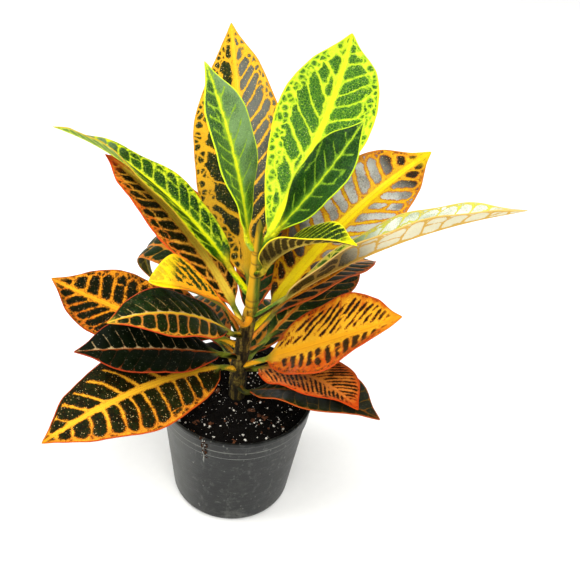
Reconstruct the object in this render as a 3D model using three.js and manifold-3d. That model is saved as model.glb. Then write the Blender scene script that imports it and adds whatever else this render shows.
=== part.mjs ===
// Potted croton: a young variegated croton in a tapered nursery pot.
// Lengths are millimetres and angles are degrees, with +Z up.
// The origin is the centre of the pot's underside, and -Y faces the viewer.
import * as THREE from "three";
import { mergeVertices } from "three/addons/utils/BufferGeometryUtils.js";
import Module from "manifold-3d";

const wasm = await Module();
wasm.setup();

// Pot: a thin moulded wall with a deeper band round the rim
const pot = {
  height: 92,
  rimRadius: 54,
  baseRadius: 42.4,
  wall: 1.3,
  floor: 1.8,
  bandHeight: 15.5,
  bandStep: 0.9,
  footRounding: 6,
  footFacets: 4,
  sides: 48,
  holes: 6,
  holeRadius: 4,
  holeCircle: 29,
};

// Soil: fills the pot to just below the rim, crowned towards the stem
const soil = {
  gap: 0.3,
  top: 85.5,
  crown: 1.6,
  bumps: 0.7,
  rings: 6,
  sides: 48,
};

// Stem: centre line points with a radius each, from the buried end to the bud
const stem = {
  gap: 0.3,
  sides: 14,
  path: [
    { x: 0, y: 0, z: 40, radius: 5.6 },
    { x: 0, y: 0, z: 66, radius: 6.0 },
    { x: 0, y: 0, z: 92, radius: 5.8 },
    { x: 0, y: 0, z: 118, radius: 5.2 },
    { x: 3, y: 0, z: 145, radius: 4.8 },
    { x: 5.5, y: 0, z: 167, radius: 4.2 },
    { x: 6.2, y: 0, z: 190, radius: 3.8 },
    { x: 6.5, y: 0, z: 212, radius: 3.2 },
    { x: 6.5, y: 0, z: 226, radius: 2.2 },
  ],
  rings: 34,
  jointSwell: 0.5,
  jointSpread: 3,
  budLength: 9,
};

// What every leaf shares
const leafForm = {
  petioleStations: 4,
  bladeStations: 15,
  fineSteps: 120,
  acrossPlaces: [-1, -0.5, 0, 0.5, 1],
  petioleHalfWidth: 2.0,
  petioleHalfDepth: 1.8,
  footSwell: 0.5,
  sunkInStem: 2.4,
  edgeHalfThickness: 0.35,
  midHalfThickness: 0.6,
  ribDepth: 1.1,
};

// height is where the leaf stands on the stem, heading is the way it points,
// counted from +X towards +Y, and lead turns its stalk away from that heading.
// rise is its slope at the stem, where the blade starts and at the tip.
// roll and twist turn the blade about its rib, and fold lifts both halves.
// curl bends the halves down, sway bends the leaf sideways, and hook coils the tip.
const plainLeaf = {
  lead: 0,
  sway: 0,
  roll: 0,
  twist: 0,
  fold: 12,
  curl: 0,
  widest: 0.52,
  taper: 1,
  hook: 0,
  wave: 1.2,
  waves: 2.5,
  phase: 0,
};

const leaves = [
  // lowest tier, drooping round the rim
  {
    height: 98, heading: 330, lead: -30, stalk: 9, blade: 107, width: 54,
    rise: [4, 40, 0], roll: 6, fold: 15, widest: 0.54, phase: 0.1, colour: "dark",
  },
  {
    height: 103, heading: 70, stalk: 14, blade: 112, width: 44,
    rise: [25, 12, -42], roll: 4, fold: 10, phase: 0.4, colour: "dark",
  },
  {
    height: 108, heading: 122, stalk: 14, blade: 118, width: 46,
    rise: [20, 8, -45], roll: -4, phase: 0.7, colour: "orange",
  },
  {
    height: 113, heading: 333, lead: 22, stalk: 8, blade: 95, width: 50,
    rise: [10, 32, 3], sway: -28, roll: -3, twist: 12, fold: 9, widest: 0.5, taper: 0.8, colour: "red",
  },
  {
    height: 114, heading: 227, lead: 3, stalk: 13, blade: 137, width: 64,
    rise: [42, 24, -14], sway: -3, roll: 6, fold: 3, curl: 0.06, widest: 0.5, wave: 1.8, colour: "orange",
  },
  {
    height: 117, heading: 339, lead: -3, stalk: 17, blade: 120, width: 60,
    rise: [42, 38, 46], sway: -11, roll: -24, fold: 13, curl: -0.03, wave: 1.5, phase: 0.3, colour: "orange",
  },
  {
    height: 121, heading: 150, stalk: 14, blade: 112, width: 44,
    rise: [30, 13, -28], phase: 0.2, colour: "dark",
  },
  // lower middle tier, spreading
  {
    height: 125, heading: 213, lead: 9, stalk: 11, blade: 105, width: 48,
    rise: [33, 27, 9], sway: -6, roll: 6, twist: 8, fold: 10, phase: 0.5, colour: "dark",
  },
  {
    height: 126, heading: 42, lead: -16, stalk: 14, blade: 103, width: 50,
    rise: [14, 38, -16], sway: 24, twist: 3, colour: "dark",
  },
  {
    height: 132, heading: 173, lead: 4, stalk: 12, blade: 126, width: 54,
    rise: [30, 0, 12], sway: -12, roll: 14, twist: 15, widest: 0.54, wave: 1.6, phase: 0.6, colour: "orange",
  },
  {
    height: 134, heading: 85, stalk: 15, blade: 122, width: 42,
    rise: [46, 40, 10], sway: -6, phase: 0.9, colour: "red",
  },
  {
    height: 138, heading: 36, lead: -2, stalk: 18, blade: 100, width: 44,
    rise: [40, 46, -26], sway: 6, roll: 8, twist: 6, fold: 9, widest: 0.54, colour: "red",
  },
  {
    height: 140, heading: 131, lead: 12, stalk: 22, blade: 138, width: 30,
    rise: [44, 24, -50], sway: 8, roll: 12, twist: 20, curl: 0.15, hook: -170, wave: 0.6, colour: "dark",
  },
  {
    height: 144, heading: 210, lead: 10, stalk: 10, blade: 93, width: 45,
    rise: [27, 48, -3], sway: 6, roll: 10, twist: -5, fold: 5, curl: 0.03, widest: 0.5, phase: 0.8, colour: "dark",
  },
  // upper middle tier, long and rising
  {
    height: 146, heading: 37, lead: -8, stalk: 18, blade: 156, width: 64,
    rise: [43, 54, 17], sway: 4, roll: -9, twist: -11, fold: 16, curl: -0.03, wave: 1.6, colour: "yellow",
  },
  {
    height: 152, heading: 150, lead: 8, stalk: 10, blade: 139, width: 50,
    rise: [56, 53, 10], sway: -3, roll: 5, fold: 18, widest: 0.5, wave: 1.6, phase: 0.2, colour: "orange",
  },
  {
    height: 161, heading: 6, lead: -26, stalk: 22, blade: 166, width: 43,
    rise: [46, 44, 13], roll: 28, twist: -9, fold: 33, curl: -0.03, wave: 0.8, waves: 3.5, colour: "pale",
  },
  {
    height: 160, heading: 213, lead: 57, stalk: 12, blade: 75, width: 44,
    rise: [-10, 62, 6], sway: -25, roll: -1, twist: 2, fold: 36, curl: 0.08,
    widest: 0.8, taper: 0.5, wave: 0.8, colour: "yellow",
  },
  {
    height: 163, heading: 88, stalk: 15, blade: 124, width: 42,
    rise: [40, 36, -4], phase: 0.5, colour: "orange",
  },
  {
    height: 172, heading: 104, lead: 8, stalk: 10, blade: 176, width: 66,
    rise: [45, 52, 42], sway: 3, roll: 21, twist: 20, widest: 0.48, wave: 1.6, waves: 3, colour: "yellow",
  },
  {
    height: 177, heading: 152, lead: 8, stalk: 19, blade: 168, width: 35,
    rise: [46, 42, -9], sway: -4, roll: 10, twist: -56, fold: 24, widest: 0.42,
    wave: 1.2, waves: 3, colour: "green",
  },
  // crown: the young leaves round the bud
  {
    height: 196, heading: 324, lead: -30, stalk: 9, blade: 82, width: 38,
    rise: [34, 66, 10], sway: 7, roll: 15, twist: -12, fold: 26, wave: 0.8, colour: "green",
  },
  {
    height: 206, heading: 54, lead: 12, stalk: 11, blade: 156, width: 64,
    rise: [57, 49, 28], sway: 31, roll: -6, widest: 0.55, wave: 1.4, phase: 0.4, colour: "green",
  },
  {
    height: 213, heading: 189, stalk: 9, blade: 116, width: 36,
    rise: [52, 82, 68], sway: -14, roll: 17, twist: 27, fold: 14, wave: 0.9, waves: 3, colour: "green",
  },
  {
    height: 215, heading: 5, stalk: 12, blade: 91, width: 37,
    rise: [56, 55, 64], sway: 14, roll: -11, twist: -22, wave: 1.2, colour: "green",
  },
];

const finish = {
  pot: new THREE.MeshStandardMaterial({ color: 0x2b2c2d, roughness: 0.5, metalness: 0 }),
  soil: new THREE.MeshStandardMaterial({ color: 0x1d1713, roughness: 0.95, metalness: 0 }),
  stem: new THREE.MeshStandardMaterial({ color: 0x5d5a2c, roughness: 0.75, metalness: 0 }),
  dark: new THREE.MeshStandardMaterial({ color: 0x1d3410, roughness: 0.4, metalness: 0 }),
  orange: new THREE.MeshStandardMaterial({ color: 0xc46a12, roughness: 0.4, metalness: 0 }),
  red: new THREE.MeshStandardMaterial({ color: 0x8d3613, roughness: 0.4, metalness: 0 }),
  yellow: new THREE.MeshStandardMaterial({ color: 0xdba016, roughness: 0.4, metalness: 0 }),
  pale: new THREE.MeshStandardMaterial({ color: 0xb5a878, roughness: 0.45, metalness: 0 }),
  green: new THREE.MeshStandardMaterial({ color: 0x6c9a18, roughness: 0.4, metalness: 0 }),
};

const radians = THREE.MathUtils.degToRad;

// Joins equal corners, because a boolean needs a closed mesh of positions only
function asSolid(geometry) {
  geometry.deleteAttribute("normal");
  geometry.deleteAttribute("uv");
  const merged = mergeVertices(geometry, 1e-4);
  return new wasm.Manifold(
    new wasm.Mesh({
      numProp: 3,
      vertProperties: new Float32Array(merged.attributes.position.array),
      triVerts: new Uint32Array(merged.index.array),
    }),
  );
}

function asGeometry(solid) {
  const mesh = solid.getMesh();
  const geometry = new THREE.BufferGeometry();
  geometry.setAttribute("position", new THREE.BufferAttribute(mesh.vertProperties, 3));
  geometry.setIndex(new THREE.BufferAttribute(mesh.triVerts, 1));
  geometry.computeVertexNormals();
  return geometry;
}

// A closed tube through rings of equal length. diagonal(k) says which way side k's
// four-cornered faces are split, and an end with no point of its own gets its ring's middle.
function tubeThrough(rings, diagonal = () => true, endPoint = null) {
  const count = rings[0].length;
  const points = rings.flat();
  const faces = [];
  for (let i = 0; i < rings.length - 1; i++) {
    for (let k = 0; k < count; k++) {
      const a = i * count + k;
      const b = i * count + ((k + 1) % count);
      const c = a + count;
      const d = b + count;
      if (diagonal(k)) faces.push(a, b, d, a, d, c);
      else faces.push(a, b, c, b, d, c);
    }
  }
  const last = (rings.length - 1) * count;
  const first = points.push(middleOf(rings[0])) - 1;
  const end = points.push(endPoint ?? middleOf(rings[rings.length - 1])) - 1;
  for (let k = 0; k < count; k++) {
    const next = (k + 1) % count;
    faces.push(first, next, k);
    faces.push(end, last + k, last + next);
  }
  const geometry = new THREE.BufferGeometry().setFromPoints(points);
  geometry.setIndex(faces);
  return geometry;
}

function middleOf(ring) {
  const sum = new THREE.Vector3();
  for (const point of ring) sum.add(point);
  return sum.divideScalar(ring.length);
}

// The wall's outer radius below the rim band, at height z
function wallRadius(z) {
  return pot.baseRadius + ((pot.rimRadius - pot.bandStep - pot.baseRadius) * z) / pot.height;
}

// The radius of the rounded foot: its outside, or its inside one wall in from there
function footCurve(inset) {
  const curve = [];
  const size = pot.footRounding - inset;
  const middle = wallRadius(pot.footRounding) - pot.footRounding;
  for (let i = 0; i <= pot.footFacets; i++) {
    const angle = (i / pot.footFacets) * (Math.PI / 2);
    const z = pot.footRounding - size * Math.cos(angle);
    curve.push(new THREE.Vector2(middle + size * Math.sin(angle), z));
  }
  return curve;
}

function lathe(profile, sides) {
  return new THREE.LatheGeometry(profile, sides).rotateX(Math.PI / 2);
}

function makePot() {
  const bandFoot = pot.height - pot.bandHeight;
  const lip = 0.5;
  const profile = [
    new THREE.Vector2(0, 0),
    ...footCurve(0),
    new THREE.Vector2(wallRadius(bandFoot), bandFoot),
    new THREE.Vector2(wallRadius(bandFoot) + pot.bandStep, bandFoot + pot.bandStep),
    new THREE.Vector2(pot.rimRadius, pot.height - lip),
    new THREE.Vector2(pot.rimRadius - lip, pot.height),
    new THREE.Vector2(wallRadius(pot.height) - pot.wall + lip, pot.height),
    new THREE.Vector2(wallRadius(pot.height) - pot.wall, pot.height - lip),
    ...footCurve(pot.floor).reverse(),
    new THREE.Vector2(0, pot.floor),
  ];
  let solid = asSolid(lathe(profile, pot.sides));
  for (let i = 0; i < pot.holes; i++) {
    const angle = (i / pot.holes) * Math.PI * 2;
    const hole = new THREE.CylinderGeometry(pot.holeRadius, pot.holeRadius, 6 * pot.floor, 16);
    hole.rotateX(Math.PI / 2);
    hole.translate(pot.holeCircle * Math.cos(angle), pot.holeCircle * Math.sin(angle), 0);
    solid = solid.subtract(asSolid(hole));
  }
  return asGeometry(solid);
}

// Low swells over the soil, flat at the stem and at the pot's wall
function soilRelief(x, y) {
  const radius = Math.hypot(x, y);
  const edge = wallRadius(soil.top) - pot.wall - soil.gap;
  const across = Math.min(Math.max(radius / edge, 0), 1);
  const swell = Math.sin(x * 0.21 + 1.1) * Math.cos(y * 0.17 - 0.4) + 0.5 * Math.sin(x * 0.37 - y * 0.29);
  return soil.crown * (1 - across * across) + soil.bumps * swell * Math.sin(Math.PI * across);
}

function makeSoil() {
  const inner = footCurve(pot.floor + soil.gap);
  const edge = wallRadius(soil.top) - pot.wall - soil.gap;
  const hole = Math.max(...stem.path.map((point) => point.radius)) + soil.gap;
  const depth = stem.path[0].z - soil.gap;
  const profile = [new THREE.Vector2(0, inner[0].y), ...inner, new THREE.Vector2(edge, soil.top)];
  for (let i = 1; i <= soil.rings; i++) {
    profile.push(new THREE.Vector2(THREE.MathUtils.lerp(edge, hole, i / soil.rings), soil.top));
  }
  profile.push(new THREE.Vector2(hole, depth), new THREE.Vector2(0, depth));
  const geometry = lathe(profile, soil.sides);
  const place = geometry.attributes.position;
  for (let i = 0; i < place.count; i++) {
    if (place.getZ(i) < soil.top - 0.01) continue;
    place.setZ(i, soil.top + soilRelief(place.getX(i), place.getY(i)));
  }
  return asGeometry(asSolid(geometry));
}

// The stem's middle and radius at height z
function stemAt(z) {
  const above = Math.max(1, stem.path.findIndex((point) => point.z >= z));
  const low = stem.path[above - 1];
  const high = stem.path[above];
  const part = (z - low.z) / (high.z - low.z);
  return {
    middle: new THREE.Vector3(
      THREE.MathUtils.lerp(low.x, high.x, part),
      THREE.MathUtils.lerp(low.y, high.y, part),
      z,
    ),
    radius: THREE.MathUtils.lerp(low.radius, high.radius, part),
  };
}

// A slight swelling where each leaf joins, clear of the soil
function jointSwelling(z) {
  let swelling = 0;
  for (const leaf of leaves) {
    const away = (z - leaf.height) / stem.jointSpread;
    swelling = Math.max(swelling, stem.jointSwell * Math.exp(-away * away));
  }
  return swelling;
}

// The stem's solid, grown by extra all over for the cut that seats a leaf
function stemSolid(extra) {
  const foot = stem.path[0].z;
  const top = stem.path[stem.path.length - 1].z;
  const rings = [];
  for (let i = 0; i <= stem.rings; i++) {
    const z = THREE.MathUtils.lerp(foot, top, i / stem.rings);
    const { middle, radius } = stemAt(z);
    rings.push(stemRing(middle, radius + jointSwelling(z) + extra));
  }
  const { middle, radius } = stemAt(top);
  const shoulder = middle.clone().setZ(top + stem.budLength * 0.5);
  rings.push(stemRing(shoulder, radius * 0.75 + extra));
  const tip = middle.clone().setZ(top + stem.budLength + extra);
  return asSolid(tubeThrough(rings, () => true, tip));
}

function stemRing(middle, radius) {
  const ring = [];
  for (let k = 0; k < stem.sides; k++) {
    const angle = (k / stem.sides) * Math.PI * 2;
    ring.push(new THREE.Vector3(Math.cos(angle), Math.sin(angle), 0).multiplyScalar(radius).add(middle));
  }
  return ring;
}

// The way a leaf runs at one place, the way its upper face looks, and its side
function directions(rise, heading, roll) {
  const up = radians(rise);
  const round = radians(heading);
  const along = new THREE.Vector3(Math.cos(up) * Math.cos(round), Math.cos(up) * Math.sin(round), Math.sin(up));
  const side = new THREE.Vector3(Math.sin(round), -Math.cos(round), 0).applyAxisAngle(along, radians(-roll));
  const face = side.clone().cross(along);
  return { along, side, face };
}

function stalkDirections(leaf, part) {
  const [atStem, atBlade] = leaf.rise;
  const rise = atStem + (atBlade - atStem) * part * part;
  return directions(rise, leaf.heading + leaf.lead * (1 - part), leaf.roll * part);
}

function bladeDirections(leaf, part) {
  const [, atBlade, atTip] = leaf.rise;
  const coil = leaf.hook * Math.max(0, (part - 0.55) / 0.45) ** 2;
  const rise = THREE.MathUtils.lerp(atBlade, atTip, part) + coil;
  return directions(rise, leaf.heading + leaf.sway * part, leaf.roll + leaf.twist * part);
}

// Walks from a start point, taking its direction at the middle of each step
function walk(start, length, directionAt) {
  const line = [start.clone()];
  for (let i = 0; i < leafForm.fineSteps; i++) {
    const { along } = directionAt((i + 0.5) / leafForm.fineSteps);
    line.push(line[i].clone().addScaledVector(along, length / leafForm.fineSteps));
  }
  return line;
}

// Half the blade's width as a part of its greatest, with the tip drawn out
function bladeOutline(leaf, part) {
  const power = Math.log(0.5) / Math.log(leaf.widest);
  const swell = Math.max(Math.sin(Math.PI * part ** power), 0) ** 0.8;
  const drawn = THREE.MathUtils.clamp((part - 0.8) / 0.2, 0, 1);
  return swell * (1 - 0.45 * leaf.taper * drawn * drawn * (3 - 2 * drawn));
}

// A point on the blade's middle surface, across from -1 to 1
function bladePoint(leaf, line, part, across) {
  const at = THREE.MathUtils.clamp(part, 0, 1);
  const { side, face } = bladeDirections(leaf, at);
  const half = (leaf.width / 2) * bladeOutline(leaf, at);
  const out = Math.abs(across);
  const fold = radians(leaf.fold);
  const shift = across > 0 ? leaf.phase : leaf.phase + 0.37;
  const wave = leaf.wave * out * out * Math.sin(2 * Math.PI * (leaf.waves * at + shift)) * Math.min(1, half / 8);
  const lift = half * out * Math.sin(fold) - leaf.curl * half * out * out + wave;
  const point = line[Math.round(at * leafForm.fineSteps)].clone();
  return point.addScaledVector(side, across * half * Math.cos(fold)).addScaledVector(face, lift);
}

// The blade's outward direction at one place, found from its neighbours
function bladeNormal(leaf, line, part, across) {
  const step = 1 / leafForm.fineSteps;
  const low = THREE.MathUtils.clamp(part, step, 1 - step);
  const ahead = bladePoint(leaf, line, low + step, across);
  const behind = bladePoint(leaf, line, low - step, across);
  const right = bladePoint(leaf, line, low, Math.min(across + 0.1, 1));
  const left = bladePoint(leaf, line, low, Math.max(across - 0.1, -1));
  return right.sub(left).cross(ahead.sub(behind)).normalize();
}

function stalkRing(leaf, middle, part) {
  const { side, face } = stalkDirections(leaf, part);
  const swell = leafForm.footSwell * (1 - part) ** 2;
  const places = leafForm.acrossPlaces.length;
  const ring = [];
  for (let k = 0; k < 2 * places; k++) {
    const angle = Math.PI * (1 - (k + 0.5) / places);
    const point = middle.clone();
    point.addScaledVector(side, (leafForm.petioleHalfWidth + swell) * Math.cos(angle));
    point.addScaledVector(face, (leafForm.petioleHalfDepth + swell) * Math.sin(angle));
    ring.push(point);
  }
  return ring;
}

function bladeRing(leaf, line, part) {
  const upper = [];
  const lower = [];
  for (const across of leafForm.acrossPlaces) {
    const point = bladePoint(leaf, line, part, across);
    const normal = bladeNormal(leaf, line, part, across);
    const inward = 1 - Math.abs(across);
    const half = THREE.MathUtils.lerp(leafForm.edgeHalfThickness, leafForm.midHalfThickness, inward);
    const rib = across === 0 ? leafForm.ribDepth * (1 - part) : 0;
    upper.push(point.clone().addScaledVector(normal, half));
    lower.unshift(point.clone().addScaledVector(normal, -half - rib));
  }
  return [...upper, ...lower];
}

// Stations stand closer together towards the blade's two ends
function bladeStation(i) {
  const even = i / leafForm.bladeStations;
  const crowded = 0.5 - 0.5 * Math.cos(Math.PI * even);
  return Math.round((0.6 * even + 0.4 * crowded) * leafForm.fineSteps) / leafForm.fineSteps;
}

function leafSolid(leaf) {
  const { middle, radius } = stemAt(leaf.height);
  const outward = new THREE.Vector3(1, 0, 0).applyAxisAngle(
    new THREE.Vector3(0, 0, 1),
    radians(leaf.heading + leaf.lead),
  );
  const start = middle.clone().addScaledVector(outward, radius);
  const stalkLine = walk(start, leaf.stalk, (part) => stalkDirections(leaf, part));
  const bladeLine = walk(stalkLine[leafForm.fineSteps], leaf.blade, (part) => bladeDirections(leaf, part));
  const sunk = start.clone().addScaledVector(outward, -leafForm.sunkInStem);
  const rings = [stalkRing(leaf, sunk, 0)];
  for (let i = 1; i <= leafForm.petioleStations; i++) {
    const part = i / leafForm.petioleStations;
    rings.push(stalkRing(leaf, stalkLine[Math.round(part * leafForm.fineSteps)], part));
  }
  for (let i = 1; i < leafForm.bladeStations; i++) {
    rings.push(bladeRing(leaf, bladeLine, bladeStation(i)));
  }
  const places = leafForm.acrossPlaces.length;
  const tip = bladeLine[leafForm.fineSteps];
  return asSolid(tubeThrough(rings, (side) => side < places, tip));
}

const croton = new THREE.Group();

function addPiece(name, geometry, material) {
  const mesh = new THREE.Mesh(geometry, material);
  mesh.name = name;
  croton.add(mesh);
}

addPiece("pot", makePot(), finish.pot);
addPiece("soil", makeSoil(), finish.soil);
addPiece("stem", asGeometry(stemSolid(0)), finish.stem);

const seatCutter = stemSolid(stem.gap);
leaves.forEach((ownForm, index) => {
  const leaf = { ...plainLeaf, ...ownForm };
  const name = `leaf_${String(index + 1).padStart(2, "0")}`;
  addPiece(name, asGeometry(leafSolid(leaf).subtract(seatCutter)), finish[leaf.colour]);
});

export default croton;
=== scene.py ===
import math

import bmesh
import bpy
from mathutils import Matrix, Vector, noise


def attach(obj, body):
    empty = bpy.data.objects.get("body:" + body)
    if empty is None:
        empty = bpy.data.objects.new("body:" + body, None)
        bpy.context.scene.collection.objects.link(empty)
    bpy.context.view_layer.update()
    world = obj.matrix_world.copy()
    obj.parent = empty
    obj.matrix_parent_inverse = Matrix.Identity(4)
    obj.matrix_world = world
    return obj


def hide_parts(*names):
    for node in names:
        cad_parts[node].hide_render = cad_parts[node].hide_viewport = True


# Potted croton. The leaves, stem, pot and soil follow the solids' own rules, which
# are given in millimetres and degrees, and every finished mesh is in metres.
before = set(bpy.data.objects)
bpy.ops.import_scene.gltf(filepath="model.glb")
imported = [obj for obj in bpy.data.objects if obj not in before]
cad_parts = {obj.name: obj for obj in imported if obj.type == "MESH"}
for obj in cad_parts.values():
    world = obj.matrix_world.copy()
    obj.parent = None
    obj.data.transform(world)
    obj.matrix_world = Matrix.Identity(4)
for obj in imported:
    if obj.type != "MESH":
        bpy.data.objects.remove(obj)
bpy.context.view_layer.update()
print("frame loaded,", len(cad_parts), "nodes")

mm = 0.001


def lerp(a, b, part):
    return a + (b - a) * part


def smooth(low, high, value):
    part = min(max((value - low) / (high - low), 0.0), 1.0)
    return part * part * (3 - 2 * part)


def tint(code):
    # a six-digit colour code as the linear colour that the shaders want
    parts = [(code >> shift & 255) / 255 for shift in (16, 8, 0)]
    return tuple(v / 12.92 if v <= 0.04045 else ((v + 0.055) / 1.055) ** 2.4 for v in parts) + (1.0,)


def addObject(name, data):
    thing = bpy.data.objects.new(name, data)
    bpy.context.scene.collection.objects.link(thing)
    return thing


# Camera and lights come first

cameraView = {
    "lens": 55.0,
    "pitch": 36.75,
    "roll": 6.39,
    "distance": 570.25,
    "target": (29.29, 0.0, 183.85),
}


def addCamera():
    pitch = math.radians(cameraView["pitch"])
    roll = math.radians(cameraView["roll"])
    ahead = Vector((0, math.cos(pitch), -math.sin(pitch)))
    right = Vector((1, 0, 0))
    up = right.cross(ahead)
    turnedRight = right * math.cos(roll) + up * math.sin(roll)
    turnedUp = up * math.cos(roll) - right * math.sin(roll)
    spot = Vector(cameraView["target"]) - ahead * cameraView["distance"]
    turn = Matrix((turnedRight, turnedUp, -ahead)).transposed()
    data = bpy.data.cameras.new("camera")
    data.lens = cameraView["lens"]
    data.sensor_width = 36.0
    data.clip_start = 0.01
    camera = addObject("camera", data)
    camera.matrix_world = Matrix.Translation(spot * mm) @ turn.to_4x4()
    bpy.context.scene.camera = camera


studio = {
    "worldColour": (1.0, 1.0, 1.0, 1.0),
    "worldStrength": 0.3,
    "floorColour": 0xF6F6F4,
    # name, place in metres, size, watts and colour of each light
    "lights": (
        ("key", (0.2, -0.95, 1.5), 0.8, 19.0, (1.0, 0.99, 0.965)),
        ("overhead", (0.0, 0.5, 3.2), 3.2, 75.0, (1.0, 1.0, 1.0)),
        ("leftLow", (-1.4, -0.4, 0.62), 0.8, 21.0, (1.0, 1.0, 1.0)),
        ("leftBack", (-0.9, 0.56, 1.25), 0.8, 7.0, (1.0, 1.0, 1.0)),
        ("rightLow", (1.4, -0.4, 0.6), 0.8, 9.0, (0.97, 0.985, 1.0)),
    ),
}


def addStudio():
    for name, place, size, watts, colour in studio["lights"]:
        data = bpy.data.lights.new(name, "AREA")
        data.energy = watts
        data.size = size
        data.color = colour
        light = addObject(name, data)
        light.location = place
        light.rotation_euler = (Vector((0, 0, 0.15)) - Vector(place)).to_track_quat("-Z", "Y").to_euler()
    world = bpy.data.worlds.new("softRoom")
    world.use_nodes = True
    background = world.node_tree.nodes["Background"]
    background.inputs["Color"].default_value = studio["worldColour"]
    background.inputs["Strength"].default_value = studio["worldStrength"]
    bpy.context.scene.world = world
    bpy.context.scene.view_settings.view_transform = "Standard"


addCamera()
addStudio()
print("camera and lights placed")


# Node building


class Value:
    # a node's output that plain arithmetic works on, each sign adding one math node

    def __init__(self, graph, socket):
        self.graph = graph
        self.socket = socket

    def __add__(self, other):
        return self.graph.calc("ADD", self, other)

    def __sub__(self, other):
        return self.graph.calc("SUBTRACT", self, other)

    def __rsub__(self, other):
        return self.graph.calc("SUBTRACT", other, self)

    def __mul__(self, other):
        return self.graph.calc("MULTIPLY", self, other)

    def __truediv__(self, other):
        return self.graph.calc("DIVIDE", self, other)

    def __rtruediv__(self, other):
        return self.graph.calc("DIVIDE", other, self)

    def __abs__(self):
        return self.graph.calc("ABSOLUTE", self)


class Graph:
    # short ways to add and join shader or geometry nodes in one tree

    def __init__(self, tree):
        self.tree = tree

    def node(self, kind, feeds=None, **settings):
        node = self.tree.nodes.new(kind)
        for name, value in settings.items():
            setattr(node, name, value)
        for socket, value in (feeds or {}).items():
            self.feed(node.inputs[socket], value)
        return node

    def feed(self, socket, value):
        if isinstance(value, Value):
            self.tree.links.new(value.socket, socket)
        else:
            socket.default_value = value

    def out(self, node, output=0):
        return Value(self, node.outputs[output])

    def made(self, kind, feeds=None, output=0, **settings):
        return self.out(self.node(kind, feeds, **settings), output)

    def takes(self, sockets):
        # named inputs of a group: a number, a colour, or a socket type by its name
        for name, value in sockets.items():
            kind = value if isinstance(value, str) else "Color" if isinstance(value, tuple) else "Float"
            kind = "NodeSocket" + kind
            socket = self.tree.interface.new_socket(name=name, in_out="INPUT", socket_type=kind)
            if not isinstance(value, str):
                socket.default_value = value
        entry = self.node("NodeGroupInput")
        return {name: self.out(entry, name) for name in sockets}

    def gives(self, sockets):
        kinds = {"VALUE": "Float", "RGBA": "Color", "GEOMETRY": "Geometry"}
        for name, value in sockets.items():
            kind = "NodeSocket" + kinds[value.socket.type]
            self.tree.interface.new_socket(name=name, in_out="OUTPUT", socket_type=kind)
        self.node("NodeGroupOutput", sockets)
        return self.tree

    def calc(self, operation, *values, clamp=False):
        feeds = dict(enumerate(values))
        return self.made("ShaderNodeMath", feeds, operation=operation, use_clamp=clamp)

    def most(self, first, *others):
        for other in others:
            first = self.calc("MAXIMUM", first, other)
        return first

    def rise(self, value, low, high, bottom=0.0, top=1.0):
        # a smooth step from bottom to top as value goes from low to high
        feeds = dict(enumerate((value, low, high, bottom, top)))
        return self.made("ShaderNodeMapRange", feeds, interpolation_type="SMOOTHSTEP")

    def mix(self, share, first, second):
        return self.made("ShaderNodeMix", {0: share, 6: first, 7: second}, 2, data_type="RGBA")

    def noise(self, place, scale, detail=2.0, roughness=0.5):
        feeds = {"Vector": place, "Scale": scale, "Detail": detail, "Roughness": roughness}
        return self.made("ShaderNodeTexNoise", feeds)

    def cells(self, place, scale, dimensions="3D"):
        # the distance from the middles of irregular cells, and a chance colour for each cell
        feeds = {"Vector": place, "Scale": scale}
        node = self.node("ShaderNodeTexVoronoi", feeds, feature="F1", voronoi_dimensions=dimensions)
        return self.out(node, "Distance"), self.out(node, "Color")

    def cellEdges(self, place, scale, dimensions="3D"):
        # the distance from the nearest edge between such cells
        feeds = {"Vector": place, "Scale": scale}
        settings = {"feature": "DISTANCE_TO_EDGE", "voronoi_dimensions": dimensions}
        return self.made("ShaderNodeTexVoronoi", feeds, "Distance", **settings)

    def chance(self, value):
        return self.made("ShaderNodeTexWhiteNoise", {"W": value}, "Value", noise_dimensions="1D")

    def split(self, vector):
        node = self.node("ShaderNodeSeparateXYZ", {0: vector})
        return [self.out(node, i) for i in range(3)]

    def join(self, x, y, z):
        return self.made("ShaderNodeCombineXYZ", {0: x, 1: y, 2: z})

    def attribute(self, name, output="Vector"):
        return self.made("ShaderNodeAttribute", None, output, attribute_name=name)

    def painted(self, geometry, material):
        # the end of every geometry tree
        real = self.made("GeometryNodeRealizeInstances", {0: geometry})
        painted = self.made("GeometryNodeSetMaterial", {"Geometry": real, "Material": material})
        return self.gives({"Geometry": painted})


def newGroup(name, kind="ShaderNodeTree"):
    return Graph(bpy.data.node_groups.new(name, kind))


def newMaterial(name, uniform):
    # a material with its shader, and the uniform values set on the shader itself
    material = bpy.data.materials.new(name)
    material.use_nodes = True
    shader = material.node_tree.nodes["Principled BSDF"]
    for socket, value in uniform.items():
        shader.inputs[socket].default_value = value
    return material, Graph(material.node_tree), shader


def dress(graph, shader, colour, roughness, height, strength, distance):
    # feeds the shader its colour and roughness, and a normal from the height
    graph.feed(shader.inputs["Base Color"], colour)
    graph.feed(shader.inputs["Roughness"], roughness)
    bump = graph.made("ShaderNodeBump", {"Height": height, "Strength": strength, "Distance": distance})
    graph.feed(shader.inputs["Normal"], bump)


def mottleGroup():
    # two tones in soft patches with a finer grain over them, used by every finish but the leaves
    graph = newGroup("mottle")
    given = graph.takes({
        "Place": "Vector", "Patch Scale": 60.0, "Grain Scale": 900.0, "Grain Share": 0.35,
        "Dark": tint(0x272727), "Light": tint(0x595959),
    })
    patch = graph.noise(given["Place"], given["Patch Scale"], 4.0, 0.6)
    grain = graph.noise(given["Place"], given["Grain Scale"], 3.0, 0.6)
    share = graph.rise(patch + (grain - patch) * given["Grain Share"], 0.3, 0.7)
    colour = graph.mix(share, given["Dark"], given["Light"])
    return graph.gives({"Colour": colour, "Patch": patch, "Grain": grain})


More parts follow.
